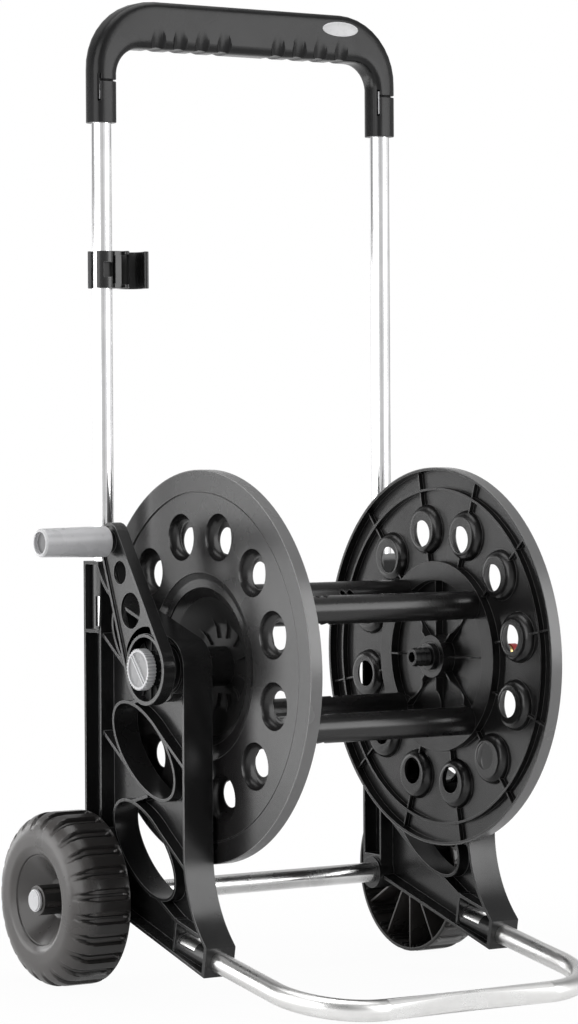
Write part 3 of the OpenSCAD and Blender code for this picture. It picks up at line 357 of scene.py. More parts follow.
def makeMouldGrain():
    # fine spark-eroded grain of a moulding, and the cloudy gloss that handling leaves
    inputs = [("Grain Scale", 1500.0), ("Cloud Scale", 22.0)]
    group, entry, leave = newGroup("mouldGrain", inputs, ["Grain", "Cloud"])
    spot = objectSpot(group)
    fine = noiseNode(group, spot, entry.outputs["Grain Scale"], 2.0, 0.6)
    cloud = noiseNode(group, spot, entry.outputs["Cloud Scale"], 4.0, 0.6)
    link(group, fine, leave.inputs["Grain"])
    link(group, rangeNode(group, cloud, *effectRanges["cloud"]), leave.inputs["Cloud"])
    return group


def makeEdgeRub():
    # painted highlight: a pale line along the rounded edges, broken up a little
    group, entry, leave = newGroup("edgeRub", [("Breakup Scale", 120.0)], ["Rub"])
    broken = noiseNode(group, objectSpot(group), entry.outputs["Breakup Scale"])
    broken = rangeNode(group, broken, *effectRanges["highlight"])
    highlight = mathNode(group, "MULTIPLY", markNode(group, "edgeLine"), broken, clamp=True)
    link(group, highlight, leave.inputs["Rub"])
    return group


def makePaintedShadeMask():
    # painted shade of recesses and of the wheels' tread, as it is marked on the mesh
    group, entry, leave = newGroup("hollowShade", [("Depth", 1.0)], ["Shade"])
    shade = mathNode(group, "MULTIPLY", markNode(group, "hollow"), entry.outputs["Depth"], clamp=True)
    link(group, shade, leave.inputs["Shade"])
    return group


def makeSettledDust():
    # thin bloom on what faces up
    group, entry, leave = newGroup("settledDust", [("Dust Scale", 60.0)], ["Dust"])
    spot = group.nodes.new("ShaderNodeTexCoord")
    facing = group.nodes.new("ShaderNodeSeparateXYZ")
    link(group, spot.outputs["Normal"], facing.inputs[0])
    upward = rangeNode(group, facing.outputs["Z"], *effectRanges["facingUp"])
    patches = noiseNode(group, spot.outputs["Object"], entry.outputs["Dust Scale"], 5.0)
    patches = rangeNode(group, patches, *effectRanges["dust"])
    link(group, mathNode(group, "MULTIPLY", upward, patches, clamp=True), leave.inputs["Dust"])
    return group


def makeDrawnLines():
    # long fine draw marks of a tube; the stretch sets which way they run
    inputs = [("Along " + axis, 1.0) for axis in "XYZ"]
    group, entry, leave = newGroup("drawnLines", inputs, ["Marks", "Smudge"])
    spot = objectSpot(group)
    stretch = group.nodes.new("ShaderNodeCombineXYZ")
    for axis in "XYZ":
        link(group, entry.outputs["Along " + axis], stretch.inputs[axis])
    scaled = vectorNode(group, "MULTIPLY", spot, stretch.outputs[0])
    link(group, noiseNode(group, scaled, 1.0, 3.0, 0.6), leave.inputs["Marks"])
    smudge = noiseNode(group, spot, smudgeScale, 5.0)
    link(group, rangeNode(group, smudge, *effectRanges["smudge"]), leave.inputs["Smudge"])
    return group


mouldGrain = makeMouldGrain()
edgeRub = makeEdgeRub()
settledDust = makeSettledDust()
hollowShade = makePaintedShadeMask()
drawnLines = makeDrawnLines()


def groupNode(tree, group, **values):
    node = tree.nodes.new("ShaderNodeGroup")
    node.node_tree = group
    for label, value in values.items():
        node.inputs[label.replace("_", " ")].default_value = value
    return node


def newMaterial(name):
    material = bpy.data.materials.new(name)
    material.use_nodes = True
    tree = material.node_tree
    shader = tree.nodes["Principled BSDF"]
    return material, tree, shader


def bumpNode(tree, shader, height, strength, distance):
    node = tree.nodes.new("ShaderNodeBump")
    node.inputs["Strength"].default_value = strength
    node.inputs["Distance"].default_value = distance
    link(tree, height, node.inputs["Height"])
    link(tree, node.outputs["Normal"], shader.inputs["Normal"])


# moulded plastics: dark and light tone of the cloud, painted edge highlight tone, dust tone and share, gloss
# range, grain
plasticLooks = {
    "blackPlastic": {
        "dark": (0.0085, 0.0085, 0.0088), "light": (0.013, 0.0129, 0.0131),
        "edge": (0.12, 0.12, 0.122), "dust": (0.12, 0.12, 0.12), "dustShare": 0.05,
        "rough": (0.20, 0.29), "grainScale": 1500.0, "grain": 0.08, "cloudScale": 16.0,
        "specular": 0.5,
    },
    "reelPlastic": {
        "dark": (0.0078, 0.0074, 0.0076), "light": (0.0122, 0.0116, 0.0118),
        "edge": (0.085, 0.083, 0.083), "dust": (0.12, 0.12, 0.12), "dustShare": 0.05,
        "rough": (0.21, 0.30), "grainScale": 1700.0, "grain": 0.08, "cloudScale": 9.0,
        "specular": 0.5, "rim": (0.17, 0.169, 0.170),
    },
    "handlePlastic": {
        "dark": (0.0100, 0.0100, 0.0104), "light": (0.0152, 0.0152, 0.0157),
        "edge": (0.028, 0.028, 0.029), "dust": (0.12, 0.12, 0.12), "dustShare": 0.05,
        "rough": (0.22, 0.30), "grainScale": 1300.0, "grain": 0.12, "cloudScale": 26.0,
        "specular": 0.24,
    },
    "wheelPlastic": {
        "dark": (0.053, 0.0492, 0.0475), "light": (0.071, 0.0662, 0.0640),
        "edge": (0.075, 0.071, 0.069), "dust": (0.14, 0.134, 0.128), "dustShare": 0.06,
        "rough": (0.25, 0.34), "grainScale": 1100.0, "grain": 0.12, "cloudScale": 18.0,
        "specular": 0.5,
    },
    "greyPlastic": {
        "dark": (0.55, 0.55, 0.565), "light": (0.62, 0.62, 0.635), "edge": (0.74, 0.74, 0.75),
        "dust": (0.50, 0.50, 0.50), "dustShare": 0.06, "rough": (0.24, 0.33), "grainScale": 1500.0,
        "grain": 0.10, "cloudScale": 34.0, "specular": 0.4,
    },
    "redPlastic": {
        "dark": (0.33, 0.022, 0.020), "light": (0.42, 0.035, 0.030), "edge": (0.55, 0.10, 0.09),
        "dust": (0.40, 0.30, 0.28), "dustShare": 0.05, "rough": (0.28, 0.38), "grainScale": 1500.0,
        "grain": 0.06, "cloudScale": 60.0, "specular": 0.5,
    },
    "sealRubber": {
        "dark": (0.010, 0.010, 0.010), "light": (0.018, 0.018, 0.018), "edge": (0.03, 0.03, 0.03),
        "dust": (0.08, 0.08, 0.08), "dustShare": 0.15, "rough": (0.60, 0.72), "grainScale": 2200.0,
        "grain": 0.20, "cloudScale": 90.0, "specular": 0.35,
    },
    "badgeEnamel": {
        "dark": (0.72, 0.72, 0.73), "light": (0.79, 0.79, 0.80), "edge": (0.55, 0.55, 0.57),
        "dust": (0.70, 0.70, 0.70), "dustShare": 0.05, "rough": (0.24, 0.34), "grainScale": 900.0,
        "grain": 0.03, "cloudScale": 120.0, "specular": 0.5,
    },
}


# painted sheen: the reel's outer rim is painted paler than its faces
rimSheenBand = {"inner": 1.4, "outer": 0.5}


def rimSheenShare(tree):
    low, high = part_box("left_flange")
    radius = (high[2] - low[2]) / 2
    middle = (0, (low[1] + high[1]) / 2, (low[2] + high[2]) / 2)
    arm = vectorNode(tree, "SUBTRACT", objectSpot(tree), middle)
    away = vectorNode(tree, "LENGTH", vectorNode(tree, "MULTIPLY", arm, (0, 1, 1)))
    inner, outer = (radius - rimSheenBand[k] / 1000 for k in ("inner", "outer"))
    return rangeNode(tree, away, inner, outer, 0.0, 1.0, soft=True)


# what all mouldings share
mouldSkin = {
    "highlightBreakup": 130.0, "dustScale": 55.0, "dustRough": 0.5, "grainDepth": 0.0004,
    # painted shade tone for recesses and the wheels' tread
    "hollowTone": (0.004, 0.004, 0.004),
    "mattFrom": 0.66, "mattRough": 0.55,       # sheltered faces keep their matt mould skin
}


def makePlastic(name):
    look = plasticLooks[name]
    material, tree, shader = newMaterial(name)
    grain = groupNode(tree, mouldGrain, Grain_Scale=look["grainScale"], Cloud_Scale=look["cloudScale"])
    highlight = groupNode(tree, edgeRub, Breakup_Scale=mouldSkin["highlightBreakup"])
    dust = groupNode(tree, settledDust, Dust_Scale=mouldSkin["dustScale"])
    hollow = groupNode(tree, hollowShade, Depth=1.0)
    colour = mixColour(tree, grain.outputs["Cloud"], look["dark"], look["light"])
    # painted highlight along the rounded edges
    colour = mixColour(tree, highlight.outputs["Rub"], colour, look["edge"])
    # painted sheen on the reel's rim
    if "rim" in look:
        colour = mixColour(tree, rimSheenShare(tree), colour, look["rim"])
    dusty = mathNode(tree, "MULTIPLY", dust.outputs["Dust"], look["dustShare"])
    colour = mixColour(tree, dusty, colour, look["dust"])
    # painted shade where the mesh is marked
    colour = mixColour(tree, hollow.outputs["Shade"], colour, mouldSkin["hollowTone"])
    link(tree, colour, shader.inputs["Base Color"])
    shader.inputs["Specular IOR Level"].default_value = look["specular"]
    gloss = rangeNode(tree, grain.outputs["Cloud"], 0.0, 1.0, *look["rough"])
    dull = mathNode(tree, "MULTIPLY", dusty, mouldSkin["dustRough"])
    gloss = mathNode(tree, "ADD", gloss, dull, clamp=True)
    matt = rangeNode(tree, hollow.outputs["Shade"], mouldSkin["mattFrom"], 1.0, 0.0, mouldSkin["mattRough"])
    link(tree, mathNode(tree, "ADD", gloss, matt, clamp=True), shader.inputs["Roughness"])
    bumpNode(tree, shader, grain.outputs["Grain"], look["grain"], mouldSkin["grainDepth"])
    return material


# metals: drawn tube and turned brass
metalLooks = {
    "brightTube": {
        "pale": (0.90, 0.90, 0.905), "dull": (0.74, 0.74, 0.75), "rough": (0.10, 0.22),
        "marks": (900.0, 900.0, 14.0), "bump": 0.05,
    },
    "footTube": {
        "pale": (0.95, 0.948, 0.94), "dull": (0.87, 0.865, 0.855), "rough": (0.24, 0.38),
        "marks": (60.0, 60.0, 900.0), "bump": 0.05,
    },
    "axleTube": {
        "pale": (0.94, 0.938, 0.935), "dull": (0.84, 0.838, 0.835), "rough": (0.18, 0.32),
        "marks": (14.0, 900.0, 900.0), "bump": 0.05,
    },
    "turnedBrass": {
        "pale": (0.80, 0.60, 0.26), "dull": (0.58, 0.41, 0.16), "rough": (0.16, 0.30),
        "marks": (1400.0, 40.0, 40.0), "bump": 0.08,
    },
}


# what all metals share
metalSkin = {"highlightBreakup": 200.0, "markShare": 0.5, "glossFrom": 0.2, "glossTo": 0.8, "markDepth": 0.0002}


def makeMetal(name):
    look = metalLooks[name]
    skin = metalSkin
    material, tree, shader = newMaterial(name)
    x, y, z = look["marks"]
    drawn = groupNode(tree, drawnLines, Along_X=x, Along_Y=y, Along_Z=z)
    marks, smudge = drawn.outputs["Marks"], drawn.outputs["Smudge"]
    highlight = groupNode(tree, edgeRub, Breakup_Scale=skin["highlightBreakup"])
    colour = mixColour(tree, smudge, look["pale"], look["dull"])
    # painted highlight: paler along the rounded edges
    colour = mixColour(tree, highlight.outputs["Rub"], colour, look["pale"])
    link(tree, colour, shader.inputs["Base Color"])
    shader.inputs["Metallic"].default_value = 1.0
    gloss = mixColour(tree, skin["markShare"], marks, smudge)
    gloss = rangeNode(tree, gloss, skin["glossFrom"], skin["glossTo"], *look["rough"])
    link(tree, gloss, shader.inputs["Roughness"])
    bumpNode(tree, shader, marks, look["bump"], skin["markDepth"])
    return material


finishes = {name: makePlastic(name) for name in plasticLooks}
finishes.update({name: makeMetal(name) for name in metalLooks})
print("finishes made:", len(finishes))


# pieces that keep the solid's own shape, with rounded edges:
# solid, piece, body, finish, record slot, edge radius in metres
keptShapes = [
    ("left_side_frame", "leftSideFrame", "frame", "blackPlastic", "black_plastic", 0.00045),
    ("right_side_frame", "rightSideFrame", "frame", "blackPlastic", "black_plastic", 0.00045),
    ("wheel_axle", "wheelAxle", "frame", "axleTube", "bright_tube", 0.0003),
    ("left_handle_tube", "leftHandleTube", "frame", "brightTube", "bright_tube", 0.0003),
    ("right_handle_tube", "rightHandleTube", "frame", "brightTube", "bright_tube", 0.0003),
    ("handle_grip", "handleGrip", "frame", "handlePlastic", "black_plastic", 0.0008),
    ("nozzle_clip", "nozzleClip", "nozzle_clip", "blackPlastic", "black_plastic", 0.0005),
    ("left_flange", "leftFlange", "reel", "reelPlastic", "black_plastic", 0.00036),
    ("right_flange", "rightFlange", "reel", "reelPlastic", "black_plastic", 0.00036),
    ("front_upper_drum_bar", "frontUpperDrumBar", "reel", "reelPlastic", "black_plastic", 0.0006),
    ("front_lower_drum_bar", "frontLowerDrumBar", "reel", "reelPlastic", "black_plastic", 0.0006),
    ("rear_lower_drum_bar", "rearLowerDrumBar", "reel", "reelPlastic", "black_plastic", 0.0006),
    ("rear_upper_drum_bar", "rearUpperDrumBar", "reel", "reelPlastic", "black_plastic", 0.0006),
    ("crank_spindle", "crankSpindle", "reel", "blackPlastic", "black_plastic", 0.0005),
    ("crank_arm", "crankArm", "reel", "blackPlastic", "black_plastic", 0.0005),
    ("crank_knob", "crankKnob", "reel", "greyPlastic", "grey_plastic", 0.0004),
    ("crank_pin", "crankPin", "reel", "blackPlastic", "black_plastic", 0.0004),
    ("crank_grip", "crankGrip", "crank_grip", "greyPlastic", "grey_plastic", 0.0008),
    ("inlet_spindle", "inletSpindle", "reel", "blackPlastic", "black_plastic", 0.0004),
    ("hose_tail", "hoseTail", "reel", "blackPlastic", "black_plastic", 0.0003),
    ("inlet_nut", "inletNut", "reel", "blackPlastic", "black_plastic", 0.0005),
    ("inlet_nipple", "inletNipple", "inlet", "turnedBrass", "brass", 0.0003),
    ("inlet_collar", "inletCollar", "inlet", "redPlastic", "red_plastic", 0.0003),
    ("inlet_seals", "inletSeals", "inlet", "sealRubber", "seal_rubber", 0.0),
    ("left_hub_cap", "leftHubCap", "frame", "greyPlastic", "grey_plastic", 0.0004),
    ("right_hub_cap", "rightHubCap", "frame", "greyPlastic", "grey_plastic", 0.0004),
]
softening = {
    "merge": 0.00002, "seam": 0.00001, "flatAngle": 0.7, "bevelAngle": 34.0, "smoothAngle": 40.0,
    "segments": 2, "flatWeight": 70,
    # how far a point may stray and what is cleared round one that does, in edge radii
    "stray": 0.575, "clearRound": 6.0, "tries": 7,
}
toolSides = 128


def mergedCopy(node, name):
    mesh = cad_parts[node].data.copy()
    mesh.name = name
    mesh.materials.clear()
    piece = bpy.data.objects.new(name, mesh)
    scene.collection.objects.link(piece)
    pickOnly(piece)
    bpy.ops.mesh.customdata_custom_splitnormals_clear()
    editWhole(piece)
    bpy.ops.mesh.remove_doubles(threshold=softening["merge"])
    endEdit()
    return piece


def joinFlatFaces(piece):
    editWhole(piece)
    bpy.ops.mesh.dissolve_limited(angle_limit=math.radians(softening["flatAngle"]))
    endEdit()


def closeSurface(piece):
    # joins the seams of a swept grid and points its faces outwards
    editWhole(piece)
    bpy.ops.mesh.remove_doubles(threshold=softening["seam"])
    bpy.ops.mesh.normals_make_consistent(inside=False)
    endEdit()


def shadeSmooth():
    bpy.ops.object.shade_smooth_by_angle(angle=math.radians(softening["smoothAngle"]))


def softEdge(piece, width):
    # width in mm
    bevel = piece.modifiers.new("softEdge", "BEVEL")
    bevel.width = width / 1000
    bevel.segments = softening["segments"]
    applyAll(piece)


def sweptGrid(name, columns, around):
    # a grid to bend into a closed sweep, and each of its points with its column and its turn
    pickNone()
    bpy.ops.mesh.primitive_grid_add(x_subdivisions=columns, y_subdivisions=around, size=1)
    piece = bpy.context.object
    piece.name = name
    points = []
    for vertex in piece.data.vertices:
        column = round((vertex.co.x + 0.5) * columns) % columns
        row = round((vertex.co.y + 0.5) * around) % around
        points.append((vertex, column, 2 * math.pi * row / around))
    return piece, points


# small forms that the photograph shows and the solids lack
def boxTool(base, low, high, axes=None):
    # a box in mm about a base point, along the given axes
    pickNone()
    bpy.ops.mesh.primitive_cube_add(size=1)
    tool = bpy.context.object
    across, along, upward = axes or (Vector((1, 0, 0)), Vector((0, 1, 0)), Vector((0, 0, 1)))
    for vertex in tool.data.vertices:
        x, y, z = (low[i] if vertex.co[i] < 0 else high[i] for i in range(3))
        vertex.co = base + (across * x + along * y + upward * z) / 1000
    return tool


def rodTool(base, radius, length):
    # a cylinder along X in mm about a base point
    pickNone()
    bpy.ops.mesh.primitive_cylinder_add(vertices=toolSides, radius=radius / 1000, depth=length / 1000)
    tool = bpy.context.object
    tool.data.transform(Matrix.Translation(base) @ Matrix.Rotation(math.pi / 2, 4, "Y"))
    return tool


def combine(piece, tool, operation="DIFFERENCE"):
    change = piece.modifiers.new("combine", "BOOLEAN")
    change.operation = operation
    change.solver = "EXACT"
    change.object = tool
    pickOnly(piece)
    bpy.ops.object.modifier_apply(modifier=change.name)
    mesh = tool.data
    bpy.data.objects.remove(tool)
    bpy.data.meshes.remove(mesh)


clipForm = {
    # all in mm from the tube's axis at half the clip's height: post, window, slit and the jaw's wider mouth
    "base": (-165, 139, 690),
    "post": ((7.0, -14.2, -14.2), (13.2, -9.0, 14.2)),
    "cuts": [((-5.5, -15.5, -7.0), (3.4, -11.0, 7.0)), ((3.9, -15.5, -13.5), (6.6, -9.6, 13.5)),
             ((13.2, -22.0, -14.6), (18.9, -3.0, 14.6))],
}
armForm = {
    # moat between the arm's floor and the cup round the knob
    "hub": (-203, 0, 310.5), "moatRadius": 39.5, "cupRadius": 33.5, "depth": 4.4,
    "halfWidth": 23.0, "from": 8.0, "to": 44.0,
}
capForm = {"from": 10.3, "slimmer": 0.885}       # the rim in mm, and what is left of its radius


def shapeClip(piece):
    base = cart(*clipForm["base"])
    combine(piece, boxTool(base, *clipForm["post"]), "UNION")
    for low, high in clipForm["cuts"]:
        combine(piece, boxTool(base, low, high))


def shapeArm(piece):
    form = armForm
    hub = cart(*form["hub"])
    low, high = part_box("crank_pin")
    along = Vector((0, (low[1] + high[1]) / 2 - hub.y, (low[2] + high[2]) / 2 - hub.z)).normalized()
    outward = Vector((1, 0, 0))
    aside = along.cross(outward)
    deep, wide = form["depth"] / 2, form["halfWidth"]
    tool = boxTool(hub, (-deep, form["from"], -wide), (deep, form["to"], wide), (outward, along, aside))
    if along.cross(aside).dot(outward) < 0:
        tool.data.flip_normals()
    through = 4 * form["depth"]
    combine(tool, rodTool(hub, form["moatRadius"], through), "INTERSECT")
    combine(tool, rodTool(hub, form["cupRadius"], through))
    combine(piece, tool)


def shapeCap(piece):
    low = Vector([min(v.co[i] for v in piece.data.vertices) for i in range(3)])
    high = Vector([max(v.co[i] for v in piece.data.vertices) for i in range(3)])
    middle = (low + high) / 2
    for vertex in piece.data.vertices:
        arm = Vector((0, vertex.co.y - middle.y, vertex.co.z - middle.z))
        if arm.length * 1000 > capForm["from"]:
            vertex.co -= arm * (1 - capForm["slimmer"])


shaping = {"nozzleClip": shapeClip, "crankArm": shapeArm, "leftHubCap": shapeCap, "rightHubCap": shapeCap}


def sharpEdges(mesh):
    # share of the full rounding for each edge: 1 where its two faces meet at an angle
    turn = {}
    for face in mesh.polygons:
        for key in face.edge_keys:
            turn.setdefault(key, []).append(face.normal.copy())
    least = math.radians(softening["bevelAngle"])
    shares = []
    for edge in mesh.edges:
        sides = turn.get(edge.key, [])
        paired = len(sides) == 2 and all(side.length > 0 for side in sides)
        shares.append(1.0 if paired and sides[0].angle(sides[1]) > least else 0.0)
    return shares


def bevelled(piece, start, shares, radius):
    piece.data = start.copy()
    weights = piece.data.attributes.new("bevel_weight_edge", "FLOAT", "EDGE")
    weights.data.foreach_set("value", shares)
    bevel = piece.modifiers.new("roundEdges", "BEVEL")
    bevel.width = radius
    bevel.segments = softening["segments"]
    bevel.limit_method = "WEIGHT"
    bevel.use_clamp_overlap = False
    bevel.miter_outer = "MITER_ARC"
    bevel.material = 1
    pickOnly(piece)
    bpy.ops.object.modifier_apply(modifier=bevel.name)


# faces that lie whole in a recess and get painted shade: within a box in cart mm, a ring round the reel's axis
# # or a depth from the piece's left end
recess = {"reelAxis": (0, 310.5), "facing": -0.8, "anywhere": 9999}
hollowFloors = {
    "crankGrip": [{"deep": (2.0, 8.0), "shade": 0.72}],
    "crankKnob": [{"deep": (0.6, 6.0), "ring": (0, 17.2), "shade": 0.5}],
    "crankArm": [
        {"deep": (6.0, 14.0), "ring": (0, 30.6), "shade": 0.88},
        {"deep": (3.6, 6.0), "ring": (32.8, 40.2), "shade": 0.92},
    ],
    "leftFlange": [{"ring": (0, 71), "shade": 0.82, "steepest": 1.0}],
    "nozzleClip": [
        {"box": ((-171.2, 126.5, 682), (-160.8, 129.4, 698)), "shade": 0.85, "steepest": 1.0},
        {"box": ((-150, 124, 671), (-127.4, 147, 709)), "shade": 0.8, "steepest": 0.5},
    ],
}


def inRecess(floor, place, depth):
    far = recess["anywhere"]
    nearest, furthest = floor.get("ring", (0, far))
    shallow, deep = floor.get("deep", (-1, far))
    low, high = floor.get("box", ((-far,) * 3, (far,) * 3))
    away = math.hypot(place.y - recess["reelAxis"][0], place.z - recess["reelAxis"][1])
    return (nearest <= away <= furthest and shallow < depth < deep
            and all(low[i] < place[i] < high[i] for i in range(3)))


def markHollows(piece):
    mesh = piece.data
    marks = [0.0] * len(mesh.polygons)
    left = min(v.co.x for v in mesh.vertices)
    for floor in hollowFloors.get(piece.name, []):
        held = {v.index for v in mesh.vertices
                if inRecess(floor, (v.co - cartShift) * 1000, (v.co.x - left) * 1000)}
        for face in mesh.polygons:
            # floors face the left end; a steepest share lets in every face whose normal rises no more
            if "steepest" in floor:
                fits = abs(face.normal.z) <= floor["steepest"]
            else:
                fits = face.normal.x < recess["facing"]
            if fits and held.issuperset(face.vertices):
                marks[face.index] = floor["shade"]
    # painted shade on the marked faces
    hollow = mesh.attributes.new("hollow", "FLOAT", "FACE")
    hollow.data.foreach_set("value", marks)


def strayPoints(mesh, surface, most):
    # the foot on the surface of each point that lies further off, and where its neighbours lie
    off = {}
    for vertex in mesh.vertices:
        foot, _, _, away = surface.find_nearest(vertex.co)
        if away > most:
            off[vertex.index] = foot
    spots = list(off.values())
    for edge in mesh.edges:
        first, last = edge.vertices
        if (first in off) != (last in off):
            spots.append(mesh.vertices[last if first in off else first].co.copy())
    return spots


def clearRound(start, shares, spots, reach):
    # edges that pass within reach of a spot stay sharp
    for index, edge in enumerate(start.edges):
        if shares[index] == 0.0:
            continue
        first, last = (start.vertices[v].co for v in edge.vertices)
        along = last - first
        square = max(along.length_squared, 1e-12)
        for spot in spots:
            share = max(0.0, min(1.0, (spot - first).dot(along) / square))
            if (first + along * share - spot).length < reach:
                shares[index] = 0.0
                break


def roundEdges(piece, radius, finish):
    # two slots of one finish, so that the bevel's own faces can be told apart
    piece.data.materials.append(finish)
    piece.data.materials.append(finish)
    surface = surfaceOf(piece.data)
    joinFlatFaces(piece)
    start = piece.data
    shares = sharpEdges(start)
    # edges too short for the rounding throw points off the surface: those stay sharp
    for _ in range(softening["tries"] if radius > 0 else 0):
        bevelled(piece, start, shares, radius)
        spots = strayPoints(piece.data, surface, softening["stray"] * radius)
        if not spots:
            break
        clearRound(start, shares, spots, softening["clearRound"] * radius)
    mesh = piece.data
    edgeLine = mesh.attributes.new("edgeLine", "FLOAT", "FACE")
    edgeLine.data.foreach_set("value", [float(face.material_index) for face in mesh.polygons])
    for face in mesh.polygons:
        face.material_index = 0
    mesh.materials.pop(index=1)
    markHollows(piece)
    pickOnly(piece)
    shadeSmooth()
    weigh = piece.modifiers.new("flatFaces", "WEIGHTED_NORMAL")
    weigh.keep_sharp = True
    weigh.weight = softening["flatWeight"]
    bpy.ops.object.modifier_apply(modifier=weigh.name)


for node, name, body, finish, slot, radius in keptShapes:
    piece = mergedCopy(node, name)
    if name in shaping:
        shaping[name](piece)
    roundEdges(piece, radius, finishes[finish])
    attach(piece, body)
    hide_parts(node)
print("pieces rounded:", len(keptShapes))


# foot bar: one tube swept round its two bends
footForm = {
    "reach": 228.0, "rise": 10.4, "bendRadius": 72.0, "halfSpan": 165.0, "legLength": 226.7,
    "outer": 10.0, "inner": 8.5, "around": 64, "bendSteps": 32, "legSteps": 6,
}


def makeFootBar():
    form = footForm
    rise = math.radians(form["rise"])
    bend = form["bendRadius"]
    straight = form["halfSpan"] - bend
    # middle line in the bar's own plane: across, along the legs, with its heading
    line = []
    for step in range(form["legSteps"]):
        along = form["legLength"] + (bend - form["legLength"]) * step / form["legSteps"]
        line.append((form["halfSpan"], along, -math.pi / 2))
    for step in range(form["bendSteps"] + 1):
        turn = math.pi / 2 * step / form["bendSteps"]
        line.append((straight + bend * math.cos(turn), bend - bend * math.sin(turn), -math.pi / 2 - turn))
    line += [(-across, along, -math.pi - heading) for across, along, heading in reversed(line)]
    # out along the outer skin and back along the inner one
    stations = [(place, form["outer"]) for place in line] + [(place, form["inner"]) for place in reversed(line)]
    piece, points = sweptGrid("footBar", len(stations), form["around"])
    for vertex, column, turn in points:
        (across, along, heading), radius = stations[column]
        # square to the heading within the plane, and square to the plane
        sideways = radius * math.cos(turn)
        lift = radius * math.sin(turn)
        x = across - sideways * math.sin(heading)
        y = along + sideways * math.cos(heading)
        vertex.co = cart(x, -form["reach"] + y * math.cos(rise) - lift * math.sin(rise),
                         form["outer"] + y * math.sin(rise) + lift * math.cos(rise))
    closeSurface(piece)
    piece.data.materials.append(finishes["footTube"])
    shadeSmooth()
    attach(piece, "frame")
    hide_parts("foot_bar")


makeFootBar()
print("foot bar made")


# pale spring tongues in the slots of the grip's legs
tongueForm = {
    "legs": (-165, 165), "aside": -8.5, "back": 139, "height": 866,
    "width": 1.6, "length": 23.0, "depth": 5.0, "edge": 0.3,
    # sunk below the grip's front, as found beside the slot from a place before it
    "sunk": 0.2, "beside": 2.0, "before": 60.0,
}


def makeTongues():
    form = tongueForm
    surface = surfaceOf(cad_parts["handle_grip"].data)
    wide, long = form["width"] / 2, form["length"] / 2
    for leg, name in zip(form["legs"], ("leftLatchTongue", "rightLatchTongue")):
        base = cart(leg + form["aside"], form["back"] - form["before"], form["height"])
        sides = [surface.ray_cast(base + Vector((step / 1000, 0, 0)), Vector((0, 1, 0)))[0].y
                 for step in (-form["beside"], form["beside"])]
        base.y = sum(sides) / 2
        piece = boxTool(base, (-wide, form["sunk"], -long), (wide, form["sunk"] + form["depth"], long))
        piece.name = name
        softEdge(piece, form["edge"])
        piece.data.materials.append(finishes["greyPlastic"])
        shadeSmooth()
        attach(piece, "frame")


makeTongues()
print("latch tongues made")


# wheels: one closed section turned round the axle, with grooves and pips pressed into the tread
wheelForm = {
    "around": 576,
    "corners": [
        # radius, distance from the tyre's inner edge, rounding, all in mm
        (10.1, -6.0, 0.0), (14.5, -6.0, 0.6), (14.5, 25.0, 1.0), (20.6, 25.0, 2.0), (46.0, 49.0, 3.0),
        (59.0, 53.0, 4.0), (80.0, 53.0, 20.0), (80.0, 0.0, 0.6), (83.6, 0.0, 1.6), (84.0, 5.0, 2.0),
        (84.0, 57.0, 24.5), (50.0, 57.0, 9.0), (43.8, 53.0, 1.2), (43.2, 51.2, 0.5), (42.4, 51.4, 0.4),
        (19.0, 30.0, 3.0), (14.5, 29.0, 1.0), (14.5, 55.0, 0.8), (10.1, 55.0, 0.0),
    ],
    "arcSteps": 4, "treadRadius": 84.0, "treadGap": 1.4,
    # the tyre's outside begins here, past its inner faces and the inner arc of its shoulder
    "skinFrom": 58.0, "skinRadius": 80.5, "skinAlong": 53.5, "shoulder": (59.0, 32.0), "shoulderRadius": 23.0,
    "lugs": 24,
    "grooveDepth": 6.0, "grooveHalf": 6.2, "grooveWall": 1.7, "grooveStart": 3.0, "grooveTip": 3.9,
    "taperFrom": 34.0, "taperTo": 66.0, "shallowEnd": 0.15, "fadeFrom": 56.0, "fadeTo": 68.0,
    "barHeight": 3.4, "barHalf": 2.7,
    "pipAt": 8.5, "pipRadius": 2.4, "pipHeight": 2.6,
    # the barrel's, tread's, grooves' and dish's shades here are painted shade
    "barrelRadius": 14.5, "barrelSlack": 0.1, "barrelFrom": 31.0, "barrelTo": 53.5, "barrelShade": 0.85,
    "barrelSlots": 6, "barrelSlotDepth": 2.2, "barrelSlotEdge": (0.1, 0.5),
    "treadShade": 0.60, "treadShadeFrom": 30.0, "treadShadeTo": 62.0,
    "grooveShade": 0.95, "grooveShadeDepth": (0.4, 3.6),
    "dishRadius": 44.0, "dishFrom": 28.0, "dishShade": 0.3,
    "ribs": 12, "ribThickness": 2.2, "ribEdge": 0.4,
    "ribCorners": [(14.0, 4.0), (80.5, 4.0), (80.5, 31.0), (14.0, 26.0)],
}


def filletPath(corners, arcSteps, gap):
    # closed path through the corners, each with its own rounding, in steps no longer than the gap
    points = []
    for index, (radius, along, rounding) in enumerate(corners):
        here = Vector((radius, along))
        if rounding == 0:
            points.append(here)
            continue
        before = (Vector(corners[index - 1][:2]) - here).normalized()
        after = (Vector(corners[(index + 1) % len(corners)][:2]) - here).normalized()
        half = before.angle(after) / 2
        centre = here + (before + after).normalized() * rounding / math.sin(half)
        first = here + before * rounding / math.tan(half) - centre
        last = here + after * rounding / math.tan(half) - centre
        sweep = first.angle(last)
        steps = max(arcSteps, math.ceil(rounding * sweep / gap))
        for step in range(steps + 1):
            share = step / steps
            arm = first * math.sin((1 - share) * sweep) + last * math.sin(share * sweep)
            points.append(centre + arm / math.sin(sweep))
    return points


def onSkin(form, point):
    beyond = (point - Vector(form["shoulder"])).length > form["shoulderRadius"]
    return point.y >= 0 and (point.x > form["skinRadius"] or point.y > form["skinAlong"] or beyond)


